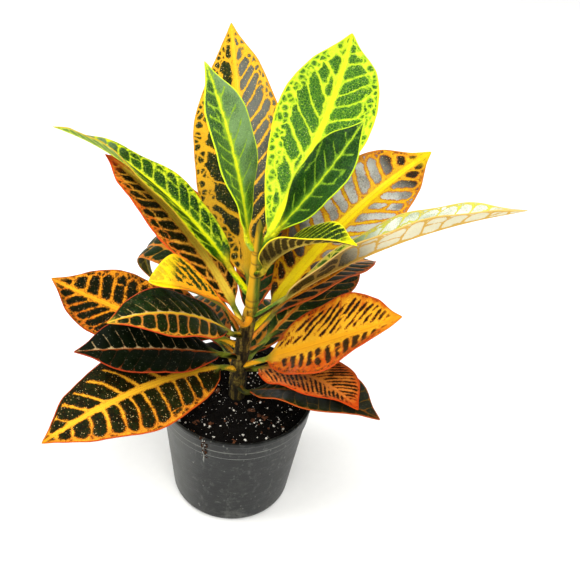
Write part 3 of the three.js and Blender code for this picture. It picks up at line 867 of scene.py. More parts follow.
leaves = {
    "leaf_01": ("dark", dict(
        height=98, heading=330, lead=-30, stalk=9, blade=107, width=54, rise=(4, 40, 0), roll=6, fold=15,
        widest=0.54, phase=0.1,
    ), dict(
        cell=0x0C0F06, cellLight=0x1C2010, veinHalf=0.1, vein=0x2A2010, ribHalf=0.8, rib=0x8A4A1E,
        edge=0xA84A1A, edgeLine=0.7, band=0.4, bandTone=0x2A1A0C, crossShare=0.1, freckles=1, netHalf=0.1,
        specks=0.15, tip=0x7A3A1A, tipFrom=0.92, stalk=0x4A4A18, paintedSheen=0x34342E, paintedSheenShare=0.6,
        paintedSheenSide=-1, paintedSheenFrom=0.55, specular=0.04,
    )),
    "leaf_02": ("dark", dict(
        height=103, heading=70, stalk=14, blade=112, width=44, rise=(25, 12, -42), roll=4, fold=10,
        phase=0.4,
    ), dict(
        veinHalf=0.35, vein=0xA8761E,
    )),
    "leaf_03": ("orange", dict(
        height=108, heading=122, stalk=14, blade=118, width=46, rise=(20, 8, -45), roll=-4, phase=0.7,
    ), dict(
        veinHalf=0.9, band=2.6, crossShare=0.3,
    )),
    "leaf_04": ("red", dict(
        height=113, heading=333, lead=22, stalk=8, blade=95, width=50, rise=(10, 32, 3), sway=-28, roll=-3,
        twist=12, fold=9, widest=0.5, taper=0.8,
    ), dict(
        spacing=(4.6, 4.5), slant=(0.9, 1.15), veinHalf=(1.15, 1.05), vein=0xE68C34, rib=0xF09040,
        ribHalf=1, band=(1, 2.6), bandTone=0xD05A1C, edge=0xB83E14, edgeLine=0.8, cell=0x0E1006,
        cellLight=0x22240A, halo=0x7A2A08, ragged=1.5, rounding=1.5, arch=4.5, funnel=1.6, crossShare=0.2,
        crossLength=8, netSize=2.6, tip=0xC2420C, tipFrom=0.84, tipShare=0.9, freckles=0.6, paintedSheen=0x5A4A3A,
        paintedSheenSide=-1, paintedSheenFrom=0.3, fadeTo=0.05, specular=0.02,
    )),
    "leaf_05": ("orange", dict(
        height=114, heading=227, lead=3, stalk=13, blade=137, width=64, rise=(42, 24, -14), sway=-3,
        roll=6, fold=3, curl=0.06, widest=0.5, wave=1.8,
    ), dict(
        spacing=(10.2, 13), slant=(0.15, 0.5), bow=0.15, vein=0xE8AC2A, ribHalf=2.3, rib=0xF2B626,
        band=(2, 1.1), bandTone=0xD08622, edge=0xB84A14, edgeLine=0.8, crossShare=(0.05, 0.02),
        freckles=(0.7, 0.6), netHalf=0.5, netSize=3.8, veinReach=(2, 0.9), funnel=2.2, ragged=1.35,
        fadeTo=0.22, tip=0xCE790A, tipFrom=0.92, tipShare=0.8, specks=0.8, fineNet=0.1, cell=0x0A0E03,
        cellLight=0x16220A, specular=0.03, blushFrom=(0.25, 0.7), halo=0x6A2A06, haloWidth=0.55,
    )),
    "leaf_06": ("orange", dict(
        height=117, heading=339, lead=-3, stalk=17, blade=120, width=60, rise=(42, 38, 46), sway=-11,
        roll=-24, fold=13, curl=-0.03, wave=1.5, phase=0.3,
    ), dict(
        spacing=(7.4, 7.8), slant=(1.1, 0.4), bow=0.1, veinHalf=(2, 1.6), vein=0xE4AE24, ribHalf=4.4,
        rib=0xE2A01A, band=(3, 4.6), bandTone=0xB84A0E, edge=0xB04010, edgeLine=0.9,
        crossShare=(0.4, 0.15), crossLength=13, arch=4, funnel=3.2, freckles=(0.5, 1), netSize=2.6,
        ragged=1.9, rounding=2, halo=0x8A2C08, cell=0x0C1206, tip=0xD58717, tipFrom=0.84, specks=0.1,
        fadeTo=0.02, netHalf=0.4, specular=0.06, blushFrom=(0.6, 0.2), haloWidth=0.6, cellLight=0x141C0A,
    )),
    "leaf_07": ("dark", dict(
        height=121, heading=150, stalk=14, blade=112, width=44, rise=(30, 13, -28), phase=0.2,
    ), dict(
        veinHalf=0.3, vein=0xB06A1A, edge=0xA4401A, ribHalf=1.3,
    )),
    "leaf_08": ("dark", dict(
        height=125, heading=213, lead=9, stalk=11, blade=105, width=48, rise=(33, 27, 9), sway=-6, roll=6,
        twist=8, fold=10, phase=0.5,
    ), dict(
        cell=0x040A02, cellLight=0x0A1204, spacing=9.2, slant=(0.4, 0.1), veinHalf=(-0.15, 0.1),
        vein=0x1A200A, paleVeins=(0, 1), ribHalf=0.9, rib=0xB0521A, edge=0x9A3414, band=0.4,
        bandTone=0x1E240C, crossShare=0, freckles=1, netHalf=0.08, veinReach=(2, 0.8), fadeTo=0.2,
        tip=0xA0481C, tipFrom=0.95, specular=0.05, halo=0x0C1404,
    )),
    "leaf_09": ("dark", dict(
        height=126, heading=42, lead=-16, stalk=14, blade=103, width=50, rise=(14, 38, -16), sway=24,
        twist=3,
    ), dict(
        spacing=10, veinHalf=0.42, vein=0xD8B048, rib=0xD06A1E, edge=0xA8501A, crossShare=0.1,
        freckles=0.9, slant=(0.5, 0.5),
    )),
    "leaf_10": ("orange", dict(
        height=132, heading=173, lead=4, stalk=12, blade=126, width=54, rise=(30, 0, 12), sway=-12,
        roll=14, twist=15, widest=0.54, wave=1.6, phase=0.6,
    ), dict(
        spacing=(9.6, 10), slant=(0.7, 0.1), veinHalf=(0.95, 1.05), vein=0xE8921E, ribHalf=2.6,
        rib=0xF0AC20, band=(2.2, 3), bandTone=0xCC6A18, edge=0x902E07, edgeLine=0.7, crossShare=(0.1, 0.2),
        crossLength=14, freckles=1, netHalf=0.3, netSize=3.2, arch=4.5, funnel=3, ragged=1.9,
        cell=0x050D03, cellLight=0x0E1806, tip=0xD38320, tipFrom=0.9, specks=0.45, specular=0.02,
        blushFrom=(0.1, 0.75), halo=0x44260A, haloWidth=0.6, rounding=2.2,
    )),
    "leaf_11": ("red", dict(
        height=134, heading=85, stalk=15, blade=122, width=42, rise=(46, 40, 10), sway=-6, phase=0.9,
    ), dict(
        veinHalf=0.5, vein=0xC0521C, rib=0xC8601E, edge=0xB03A12,
    )),
    "leaf_12": ("red", dict(
        height=138, heading=36, lead=-2, stalk=18, blade=100, width=44, rise=(40, 46, -26), sway=6, roll=8,
        twist=6, fold=9, widest=0.54,
    ), dict(
        cell=0x0C1806, cellLight=0x1E300E, veinHalf=1, vein=0xFFB858, rib=0xFFA030, ribHalf=2.2,
        edge=0xC85A20, edgeLine=1.1, band=0.8, bandTone=0xC0501A, crossShare=0.05, freckles=0.9,
        netHalf=0.2, stalk=0x8A923A, underVein=0xD8A040, underCell=0x141C08,
    )),
    "leaf_13": ("dark", dict(
        height=140, heading=131, lead=12, stalk=22, blade=138, width=30, rise=(44, 24, -50), sway=8,
        roll=12, twist=20, curl=0.15, hook=-170, wave=0.6,
    ), dict(
        spacing=13, slant=(0.3, 0.3), veinHalf=0.22, vein=0xC4902C, rib=0xC86A1E, edge=0xB06A20,
        cell=0x081A05, cellLight=0x14280A, crossShare=0.1, freckles=0.8, specular=0.05,
    )),
    "leaf_14": ("dark", dict(
        height=144, heading=210, lead=10, stalk=10, blade=93, width=45, rise=(27, 48, -3), sway=6, roll=10,
        twist=-5, fold=5, curl=0.03, widest=0.5, phase=0.8,
    ), dict(
        cell=0x050D02, cellLight=0x0F280A, spacing=8.3, slant=(0.2, 0.35), veinHalf=(0.6, 0.12),
        vein=0xD0803A, paleVeins=(0, 1), rib=0xECC420, band=(1.6, 0.5), bandTone=0xD08C2C, edge=0xB8421A,
        edgeLine=0.75, crossShare=0, freckles=(0.7, 1), netHalf=0.25, veinReach=(2, 0.66), arch=4,
        tip=0xC8B82A, tipFrom=0.9, stalk=0x9A9830, fadeTo=0.2, specular=0.07,
    )),
    "leaf_15": ("yellow", dict(
        height=146, heading=37, lead=-8, stalk=18, blade=156, width=64, rise=(43, 54, 17), sway=4, roll=-9,
        twist=-11, fold=16, curl=-0.03, wave=1.6,
    ), dict(
        spacing=(10, 11), slant=(0.25, 0.55), veinHalf=(1.35, 1.45), vein=0xE2AE1A, ribHalf=4.7,
        rib=0xF6DC10, band=(2.8, 2.6), bandTone=0xDC9416, edge=0xC06E0C, edgeLine=0.8, crossShare=0.12,
        crossLength=18, funnel=4, ragged=1.1, freckles=1, netHalf=0.32, halo=0xA04208, cell=0x0C1006,
        cellLight=0x1E240E, tip=0xDDBE00, tipFrom=0.87, tipShare=0.9, paintedSheen=0xC8C8C0, paintedSheenShare=0.95,
        paintedSheenFrom=0.32, paintedSheenTo=0.78, stalk=0xA89A30, specks=0.8, specular=0.1, blushFrom=(0.3, 0.35),
        haloWidth=0.6,
    )),
    "leaf_16": ("orange", dict(
        height=152, heading=150, lead=8, stalk=10, blade=139, width=50, rise=(56, 53, 10), sway=-3, roll=5,
        fold=18, widest=0.5, wave=1.6, phase=0.2,
    ), dict(
        spacing=(9, 9.5), vein=0xFFBA40, ribHalf=3.7, rib=0xFFDA48, band=(2, 2.2), bandTone=0xF07020,
        edge=0xD04A1C, edgeLine=0.9, crossShare=0.3, arch=4.5, ragged=1.7, freckles=1, netHalf=0.35,
        netSize=3.2, cell=0x070E04, cellLight=0x121E08, tip=0xE04A1C, tipFrom=0.84, tipShare=0.9,
        specks=0.5, fadeTo=0.02, specular=0.06, blushFrom=(0.45, 0.7), halo=0x5A3408, haloWidth=0.6,
        rounding=2.2,
    )),
    "leaf_17": ("green", dict(
        height=161, heading=6, lead=-26, stalk=22, blade=166, width=43, rise=(46, 44, 13), roll=28,
        twist=-9, fold=33, curl=-0.03, wave=0.8, waves=3.5,
    ), dict(
        slot="leaf_pale", spacing=(12, 14), slant=(0.7, 0.35), veinHalf=(0.6, 0.7), ribHalf=1,
        rib=0xD8B04C, band=1.6, bandTone=0xC8C040, edge=0xE0BC68, crossShare=0.4, ragged=0.8, netHalf=0.35,
        cell=0x2C4A12, cellLight=0x4A7020, halo=0xA0AC30, specks=0.15, paintedSheen=0xECEEDE, paintedSheenShare=0.95,
        paintedSheenFrom=0.42, tip=0xD0B07C, tipFrom=0.86, underCell=0xDCD8BA, underVein=0xD0A446,
        underBase=0x1A1404, stalk=0x98903A, specular=0.1, tipShare=0.8, mottle=0.15,
    )),
    "leaf_18": ("yellow", dict(
        height=160, heading=213, lead=57, stalk=12, blade=75, width=44, rise=(-10, 62, 6), sway=-25,
        roll=-1, twist=2, fold=36, curl=0.08, widest=0.8, taper=0.5, wave=0.8,
    ), dict(
        spacing=(5, 6), slant=(0.6, 1.1), veinHalf=(1.8, 0.9), vein=0xE8A010, ribHalf=3.6, rib=0xE09018,
        band=(2, 1.2), bandTone=0xD8B00F, edge=0xD07018, crossShare=(0.5, 0.4), crossLength=7, ragged=2.6,
        rounding=1, arch=3, funnel=1.5, netSize=2.2, freckles=0.3, cell=0x081804, cellLight=0x16360A,
        halo=0x8A8A0C, tip=0xF2CC08, tipFrom=0.76, tipShare=0.95, specks=0.2, stalk=0xD88E20,
        blushFrom=0.9,
    )),
    "leaf_19": ("orange", dict(
        height=163, heading=88, stalk=15, blade=124, width=42, rise=(40, 36, -4), phase=0.5,
    ), dict(
        veinHalf=0.9, band=2.4,
    )),
    "leaf_20": ("yellow", dict(
        height=172, heading=104, lead=8, stalk=10, blade=176, width=66, rise=(45, 52, 42), sway=3, roll=21,
        twist=20, widest=0.48, wave=1.6, waves=3,
    ), dict(
        spacing=(17, 11), slant=(0.35, 0.75), veinHalf=(1.35, 1.1), vein=0xDEA81C, ribHalf=2.9,
        rib=0xE4B41E, band=(8, 5), bandTone=0xDCA01C, edge=0xD88A1A, edgeLine=0.7, crossShare=(0.2, 0.1),
        crossLength=15, funnel=3.4, rounding=3.5, ragged=1.3, freckles=(0.95, 0.85), netHalf=0.62,
        netSize=5, halo=0x6A5A0A, haloWidth=0.4, cell=0x0C1605, cellLight=0x1C2C0A, specks=0.9,
        tip=0xD8B20D, paintedSheen=0x6E6E66, paintedSheenShare=0.6, paintedSheenSide=1, paintedSheenFrom=0.34, paintedSheenTo=1.1,
        fadeTo=0.04, mottle=0.7, specular=0.1, blushFrom=0.8,
    )),
    "leaf_21": ("green", dict(
        height=177, heading=152, lead=8, stalk=19, blade=168, width=35, rise=(46, 42, -9), sway=-4,
        roll=10, twist=-56, fold=24, widest=0.42, waves=3,
    ), dict(
        spacing=(10, 10.5), veinHalf=(0.38, 0.45), vein=0xD2DE34, ribHalf=1.7, rib=0xE2E205, band=(1.6, 2),
        bandTone=0xD8E20A, edge=0xBC9A20, edgeLine=0.5, funnel=2, rounding=2.5, freckles=0.7, netHalf=0.3,
        haloWidth=0.7, cell=0x041A01, cellLight=0x103C03, halo=0x70A00C, specks=0.4, tip=0xCBD63F,
        tipFrom=0.85, paintedSheen=0x9AB48A, paintedSheenShare=0.5, paintedSheenFrom=0.7, stalk=0xD0B81E, underCell=0x5A7A2A,
        underVein=0xB0C03A, glow=0.3, specular=0.07,
    )),
    "leaf_22": ("green", dict(
        height=196, heading=324, lead=-30, stalk=9, blade=82, width=38, rise=(34, 66, 10), sway=7, roll=15,
        twist=-12, fold=26, wave=0.8,
    ), dict(
        spacing=6.4, veinHalf=0.22, ribHalf=1.1, rib=0xD8D010, band=0.7, bandTone=0xD8D818, edge=0xE8D420,
        edgeLine=0.6, crossShare=0.05, cell=0x071602, cellLight=0x14300A, halo=0x7A9418, haloWidth=0.6,
        tip=0xEAEA08, tipFrom=0.84, tipShare=0.95, underCell=0x0E0A03, underVein=0xB49C40,
        underBase=0x140F04, stalk=0xB8A428, mottle=0.3, specular=0.07, ragged=1.4, crossLength=12,
        freckles=0.25, netHalf=0.45,
    )),
    "leaf_23": ("green", dict(
        height=206, heading=54, lead=12, stalk=11, blade=156, width=64, rise=(57, 49, 28), sway=31,
        roll=-6, widest=0.55, wave=1.4, phase=0.4,
    ), dict(
        spacing=(15, 10.5), slant=(0.95, 0.35), veinHalf=(1.1, 0.4), vein=0xC0CE28, ribHalf=2.6,
        rib=0xE2E618, band=(7, 6), bandTone=0xC6D41E, edge=0xD2D91A, edgeLine=0.8, crossShare=(0.35, 0.05),
        crossLength=14, arch=4.5, funnel=3, ragged=1.3, freckles=1, netSize=4.8, haloWidth=0.8,
        cell=0x1A4808, cellLight=0x2E6012, halo=0x84B414, specks=0.6, fineNet=0.5, tip=0xD2D916,
        stalk=0xC0CC1C, underCell=0x5C7E34, underVein=0xBCCC3E, glow=0.3, specular=0.12, blushFrom=0.9,
    )),
    "leaf_24": ("green", dict(
        height=213, heading=189, stalk=9, blade=116, width=36, rise=(52, 82, 68), sway=-14, roll=17,
        twist=27, fold=14, wave=0.9, waves=3,
    ), dict(
        spacing=(9, 13), slant=(0.9, 0.8), veinHalf=(0.26, 0.22), vein=0x9CB83C, ribHalf=2, rib=0xEAEC1C,
        band=(1.6, 0.7), bandTone=0xA8C828, edge=0xD8F01C, crossLength=10, cell=0x12360A,
        cellLight=0x265410, halo=0x70A01E, haloWidth=0.9, specks=0.45, paintedSheen=0x90B272, paintedSheenShare=0.58,
        paintedSheenSide=0.8, paintedSheenFrom=0.3, tip=0xC8E03A, fineNet=0.5, stalk=0xE4E010, underCell=0x6A8A3E,
        underVein=0xB8C840, veinReach=(0.85, 0.75), glow=0.75, specular=0.24,
    )),
    "leaf_25": ("green", dict(
        height=215, heading=5, stalk=12, blade=91, width=37, rise=(56, 55, 64), sway=14, roll=-11,
        twist=-22,
    ), dict(
        spacing=11, slant=(0.8, 0.6), veinHalf=0.18, vein=0x74A02A, ribHalf=1.05, rib=0xCCDC1C, band=0.9,
        bandTone=0xB0D41C, edge=0xC0DC20, crossShare=0.25, cell=0x0C2A08, cellLight=0x1A440C,
        halo=0x4E7E16, haloWidth=0.9, ragged=1.4, specks=0.2, tip=0xC0DC2A, fineNet=0.3, stalk=0xDCDC12,
        underCell=0x5A7E30, underVein=0xB0C43C, veinReach=(0.7, 0.75), mottle=0.4, glow=0.7,
    )),
}

leafGrid = {
    "fineSteps": 120,
    "stations": 116,
    "stalkRings": 16,
    "half": [
        0, 0.025, 0.06, 0.1, 0.16, 0.22, 0.29, 0.36, 0.43, 0.5, 0.57, 0.64, 0.71, 0.78, 0.85, 0.91,
        0.955, 0.985, 1,
    ],
    "petioleHalfWidth": 2.0,
    "petioleHalfDepth": 1.8,
    "footSwell": 0.5,
    "edgeHalf": 0.16,
    "nearEdgeHalf": 0.33,
    "midHalf": 0.6,
    "ribDepth": 1.1,
    "ribRise": 0.28,
    "ribReach": 1.3,
    "sunk": 0.6,
    "blendLength": 11.0,
    "coilFrom": 0.55,
    "quiltReach": 1.7,
    "ruffle": 0.22,
    "unevenEdge": 0.012,
    # the shift of the minus side's edge wave, and of its veins, with how far the veins stray
    "waveShift": 0.37,
    "veinShift": 0.43,
    "veinWander": 0.28,
}
leafGrid["across"] = [-s for s in leafGrid["half"][:0:-1]] + leafGrid["half"]


def directions(rise, heading, roll):
    up = math.radians(rise)
    turn = math.radians(heading)
    along = Vector((math.cos(up) * math.cos(turn), math.cos(up) * math.sin(turn), math.sin(up)))
    side = Matrix.Rotation(math.radians(-roll), 3, along) @ Vector((math.sin(turn), -math.cos(turn), 0))
    return along, side, side.cross(along)


def stalkDirections(form, part):
    atStem, atBlade, _ = form["rise"]
    rise = atStem + (atBlade - atStem) * part * part
    return directions(rise, form["heading"] + form["lead"] * (1 - part), form["roll"] * part)


def bladeDirections(form, part):
    _, atBlade, atTip = form["rise"]
    coilFrom = leafGrid["coilFrom"]
    coil = form["hook"] * max(0.0, (part - coilFrom) / (1 - coilFrom)) ** 2
    rise = lerp(atBlade, atTip, part) + coil
    return directions(rise, form["heading"] + form["sway"] * part, form["roll"] + form["twist"] * part)


def walk(start, length, directionAt):
    line = [start.copy()]
    steps = leafGrid["fineSteps"]
    for i in range(steps):
        line.append(line[-1] + directionAt((i + 0.5) / steps)[0] * (length / steps))
    return line


def onLine(line, part):
    place = min(max(part, 0.0), 1.0) * (len(line) - 1)
    low = min(int(place), len(line) - 2)
    return line[low].lerp(line[low + 1], place - low)


def bladeOutline(form, part):
    power = math.log(0.5) / math.log(form["widest"])
    swell = max(math.sin(math.pi * part ** power), 0.0) ** 0.8
    drawn = min(max((part - 0.8) / 0.2, 0.0), 1.0)
    return swell * (1 - 0.45 * form["taper"] * drawn * drawn * (3 - 2 * drawn))


def sidePair(value):
    # the value on the minus side and on the plus side of the rib
    return value if isinstance(value, tuple) else (value, value)


def veinCount(form, look, seed, across, along, half):
    # how many side veins lie between the blade's foot and here, whole at each vein
    out = abs(across)
    plus = 1 if across >= 0 else 0
    slant = look["slant"][plus]
    wander = noise.noise(Vector((across * 0.055 + seed * 7.3, along * 0.05, seed * 1.7)))
    shift = 0.0 if across >= 0 else leafGrid["veinShift"]
    forward = along - slant * out - look["bow"] * out * out / max(half, 3.0)
    return forward / sidePair(look["spacing"])[plus] + leafGrid["veinWander"] * wander + shift


def bladeRows(form, look, seed, line):
    # the blade's middle surface as rows of (point, half width, vein count) with its quilting
    rows = []
    stations = leafGrid["stations"]
    fold = math.radians(form["fold"])
    for i in range(stations + 1):
        even = i / stations
        part = 0.55 * even + 0.45 * (0.5 - 0.5 * math.cos(math.pi * even))
        _, side, face = bladeDirections(form, part)
        half = form["width"] / 2 * bladeOutline(form, part)
        uneven = 1 + leafGrid["unevenEdge"] * noise.noise(Vector((part * 22, seed * 3.1, 0.5)))
        along = part * form["blade"]
        middle = onLine(line, part)
        row = []
        for across in leafGrid["across"]:
            out = abs(across)
            reach = half * out
            shift = form["phase"] + (0 if across > 0 else leafGrid["waveShift"])
            wave = form["wave"] * out * out * math.sin(2 * math.pi * (form["waves"] * part + shift))
            lift = reach * math.sin(fold) - form["curl"] * half * out * out + wave * min(1.0, half / 8)
            count = veinCount(form, look, seed, across * half, along, half)
            toVein = sidePair(look["spacing"])[across >= 0] * abs(count - round(count))
            quilt = 1 - math.exp(-((toVein / leafGrid["quiltReach"]) ** 2))
            quilt *= smooth(0, 3.5, half - reach)
            quilt *= smooth(look["ribHalf"] * 0.6, look["ribHalf"] + 3, reach) * look["relief"]
            ruffle = noise.noise(Vector((across * half * 0.16, along * 0.13, seed + 0.3)))
            ruffle *= leafGrid["ruffle"] * smooth(0, 6, reach)
            sideways = side * (across * half * uneven * math.cos(fold))
            row.append((middle + sideways + face * (lift + quilt + ruffle), half, count))
        rows.append((part, row))
    return rows


def surfaceNormal(rows, i, j):
    low, high = max(i - 1, 1), min(i + 1, len(rows) - 2)
    left, right = max(j - 1, 0), min(j + 1, len(leafGrid["across"]) - 1)
    ahead = rows[high][1][j][0] - rows[low][1][j][0]
    over = rows[i][1][right][0] - rows[i][1][left][0]
    return over.cross(ahead).normalized()


def halfThickness(out):
    if out > 0.99:
        return leafGrid["edgeHalf"]
    return lerp(leafGrid["nearEdgeHalf"], leafGrid["midHalf"], 1 - out)


def roundRing(middle, side, face, swell):
    upper, lower = [], []
    for across in leafGrid["across"]:
        bulge = math.sqrt(max(0.0, 1 - across * across))
        shift = side * (across * (leafGrid["petioleHalfWidth"] + swell))
        lift = face * (bulge * (leafGrid["petioleHalfDepth"] + swell))
        upper.append(middle + shift + lift)
        lower.append(middle + shift - lift)
    return upper, lower


def leafMesh(name, form, look, seed):
    stemMiddle, stemRadius = stemAt(form["height"])
    turn = math.radians(form["heading"] + form["lead"])
    outward = Vector((math.cos(turn), math.sin(turn), 0))
    start = stemMiddle + outward * stemRadius
    stalkLine = walk(start, form["stalk"], lambda part: stalkDirections(form, part))
    bladeLine = walk(stalkLine[-1], form["blade"], lambda part: bladeDirections(form, part))
    rows = bladeRows(form, look, seed, bladeLine)
    places = leafGrid["across"]
    points, leafPlace, leafShare, counts = [], [], [], []

    def addPoint(point, place, share, veins):
        points.append(point * mm)
        leafPlace.extend(place)
        leafShare.extend(share)
        counts.append(veins)

    def addRing(upper, lower, half, along, part, rowCounts):
        for line, top in ((list(enumerate(upper)), 1.0), (list(enumerate(lower))[::-1], 0.0)):
            for j, point in line:
                addPoint(point, (places[j] * half, along, half), (places[j], part, top), rowCounts[j])

    rings = leafGrid["stalkRings"]
    for i in range(rings):
        part = i / (rings - 1)
        _, side, face = stalkDirections(form, part)
        middle = onLine(stalkLine, part)
        if i == 0:
            middle = middle - outward * leafGrid["sunk"]
        upper, lower = roundRing(middle, side, face, leafGrid["footSwell"] * (1 - part) ** 2)
        along = (part - 1) * form["stalk"]
        addRing(upper, lower, leafGrid["petioleHalfWidth"], along, 0.0, [0.5] * len(places))
    for i in range(1, len(rows) - 1):
        part, row = rows[i]
        half = row[0][1]
        reach = part * form["blade"]
        blend = smooth(0.0, leafGrid["blendLength"], reach)
        _, side, face = bladeDirections(form, part)
        roundUpper, roundLower = roundRing(onLine(bladeLine, part), side, face, 0.0)
        upper, lower = [], []
        for j, across in enumerate(places):
            point, _, _ = row[j]
            normal = surfaceNormal(rows, i, j)
            thick = halfThickness(abs(across)) * min(1.0, 0.35 + half / 6)
            near = math.exp(-((across * half / leafGrid["ribReach"]) ** 2))
            rib = leafGrid["ribDepth"] * (1 - part) * near
            crest = leafGrid["ribRise"] * math.exp(-((across * half / (0.55 * look["ribHalf"] + 0.4)) ** 2))
            upper.append(roundUpper[j].lerp(point + normal * (thick + crest * (1 - part)), blend))
            lower.append(roundLower[j].lerp(point - normal * (thick + rib), blend))
        width = max(half, leafGrid["petioleHalfWidth"] * (1 - blend))
        addRing(upper, lower, width, reach, part, [cell[2] for cell in row])
    count = 2 * len(places)
    last = len(points) // count - 1
    faces = tubeFaces(last + 1, count)
    foot = onLine(stalkLine, 0) - outward * leafGrid["sunk"]
    for ring, middle, part in ((0, foot, 0.0), (last, bladeLine[-1], 1.0)):
        faces += endFaces(ring, count, len(points))
        addPoint(middle, (0.0, part * form["blade"], 0.2), (0.0, part, 1.0), 0.5)
    mesh = newMesh(name, points, faces)
    for key, values in (("leafPlace", leafPlace), ("leafShare", leafShare), ("veinCount", counts)):
        keepNumbers(mesh, key, values)
    faceOutward(mesh)
    return mesh


# What the leaf pattern takes: pairs for the two sides of the rib, numbers and colours

leafPairs = ("spacing", "veinHalf", "band", "freckles", "crossShare", "veinReach", "paleVeins", "blushFrom")
leafNumbers = (
    "ribHalf", "crossLength", "arch", "funnel", "edgeLine", "netHalf", "netSize", "haloWidth", "ragged",
    "rounding", "specks", "fineNet", "fadeTo", "tipFrom", "tipShare", "paintedSheenShare", "paintedSheenSide",
    "paintedSheenFrom", "paintedSheenTo", "gloss", "mottle", "glow",
)
leafColours = (
    "cell", "cellLight", "halo", "vein", "rib", "bandTone", "edge", "tip", "paintedSheen", "stalk",
    "underCell", "underVein", "underBase",
)


def crotonGroup():
    # the whole leaf pattern: rib, side veins that arch together near the margin, the cells
    # between them, a chain of small cells along the margin, flecks, a painted sheen and the underside
    graph = newGroup("crotonPattern")
    calc, rise, mix, texture = graph.calc, graph.rise, graph.mix, graph.noise
    given = graph.takes({
        "seed": 0.0, **dict.fromkeys(leafPairs, "Vector"), **dict.fromkeys(leafNumbers, 1.0),
        **dict.fromkeys(leafColours, (0.5, 0.5, 0.5, 1.0)),
    })
    across, along, half = graph.split(graph.attribute("leafPlace"))
    side, part, top = graph.split(graph.attribute("leafShare"))
    count = graph.attribute("veinCount", "Fac")
    out = abs(across)
    sign = calc("SIGN", side)
    plus = calc("GREATER_THAN", side, 0.0)

    def chosen(name):
        # the pair's value on this side of the rib
        low, high, _ = graph.split(given[name])
        return plus * (high - low) + low

    def layered(colour, *layers):
        # tones laid over a colour one after another, each as far as its share says
        for share, tone in layers:
            colour = mix(share, colour, given[tone] if isinstance(tone, str) else tone)
        return colour

    place = graph.join(given["seed"] * 31.7 + across, along, given["seed"] * 5.3)
    slow = texture(place, 0.06, 3.0)
    low = texture(place, 0.13, 1.0)
    medium = texture(place, 0.36, 3.0, 0.6)
    fast = texture(place, 1.2, 3.0, 0.65)
    grit = texture(place, 3.4, 3.0, 0.7)
    wobble = (medium - 0.5) * given["ragged"]
    crinkle = (fast - 0.5) * given["ragged"]
    notches = (grit - 0.5) * (given["ragged"] * 1.1)
    ragged = wobble * 2.2 + (crinkle * 2.4 + notches)

    # the cell between two side veins: straight along the veins, round at both ends.
    # beside is 0 on its middle line and 1 on the vein, beyond is 1 at either end
    narrow = calc("MINIMUM", half / 15.0, 1.0)
    ribWidth = given["ribHalf"] * calc("POWER", 1.0 - part * 0.96, 0.55)
    fromRib = out - ribWidth
    toEdge = half - out
    bandWidth = chosen("band") * narrow * rise(low, 0.3, 0.7, 0.6, 1.4)
    archLength = given["arch"] * narrow
    funnelLength = given["funnel"] * narrow
    outerEnd = calc("MAXIMUM", (bandWidth + archLength - toEdge) / archLength, 0.0)
    innerEnd = calc("MAXIMUM", (funnelLength - fromRib) / funnelLength, 0.0)
    atOuter = calc("GREATER_THAN", outerEnd, innerEnd)
    endLength = atOuter * (archLength - funnelLength) + funnelLength
    beyond = calc("MAXIMUM", outerEnd, innerEnd)
    spacing = chosen("spacing")
    beside = calc("PINGPONG", count, 0.5) * -2.0 + 1.0
    besideSquare = beside * beside + 0.0004
    beyondSquare = beyond * beyond
    roundness = calc("SQRT", besideSquare + beyondSquare)
    slope = besideSquare * 4.0 / (spacing * spacing) + beyondSquare / (endLength * endLength)
    within = (1.0 - roundness) * roundness / calc("SQRT", slope)

    # veins of uneven strength, with a cross vein here and there
    grown = rise(part, given["fadeTo"] * 0.25, given["fadeTo"])
    reach = out / calc("MAXIMUM", half, 1.0)
    veinKey = calc("MULTIPLY_ADD", calc("ROUND", count), 3.17, sign * 5.1 + given["seed"])
    thick = chosen("veinHalf") * (graph.chance(veinKey) * 0.6 + 0.7)
    thick = thick * ((reach * -0.35 + 1.15) * grown) * rise(low, 0.3, 0.7, 1.3, 0.7)
    veinReach = chosen("veinReach")
    ended = calc("MAXIMUM", rise(reach, veinReach - 0.12, veinReach + 0.1), 1.0 - grown)
    fromVein = ended * 8.0 + (within - thick)
    stripKey = calc("MULTIPLY_ADD", calc("FLOOR", count), 7.13, sign * 3.7 + given["seed"])
    crossPlace = out / given["crossLength"] + graph.chance(stripKey) + (low - 0.5) * 0.6
    crossKey = calc("MULTIPLY_ADD", calc("ROUND", crossPlace), 17.0, stripKey)
    skipped = calc("GREATER_THAN", graph.chance(crossKey), chosen("crossShare"))
    toCross = calc("PINGPONG", crossPlace, 0.5) * given["crossLength"]
    fromCross = skipped * 40.0 + toCross - thick * 0.7
    large = calc("SMOOTH_MIN", fromVein, fromCross, given["rounding"])
    large = calc("MINIMUM", large, fromRib) + ragged

    # small cells between the arches and the margin
    netScale = 1.0 / given["netSize"]
    netEdges = graph.cellEdges(place, netScale, "2D")
    netSpots, spotTone = graph.cells(place, netScale, "2D")
    spotRed, spotGreen, _ = graph.split(spotTone)
    small = netEdges * given["netSize"] - given["netHalf"]
    blob = (spotGreen * 0.34 + 0.34 - netSpots) * given["netSize"]
    small = calc("SMOOTH_MIN", small, blob, 0.6)
    small = calc("SMOOTH_MIN", small, within * -1.0 - thick * 0.6, 1.5)
    small = calc("MINIMUM", small, toEdge - given["edgeLine"] * 1.5)
    small = calc("MINIMUM", small, fromRib - 0.8)
    unpicked = calc("GREATER_THAN", spotRed, chosen("freckles"))
    small = unpicked * -20.0 + small + ragged * 0.6
    inside = calc("MAXIMUM", large, small)
    cell = rise(inside, 0.0, given["haloWidth"])
    nearCell = rise(inside, given["haloWidth"] * -1.0, 0.05)

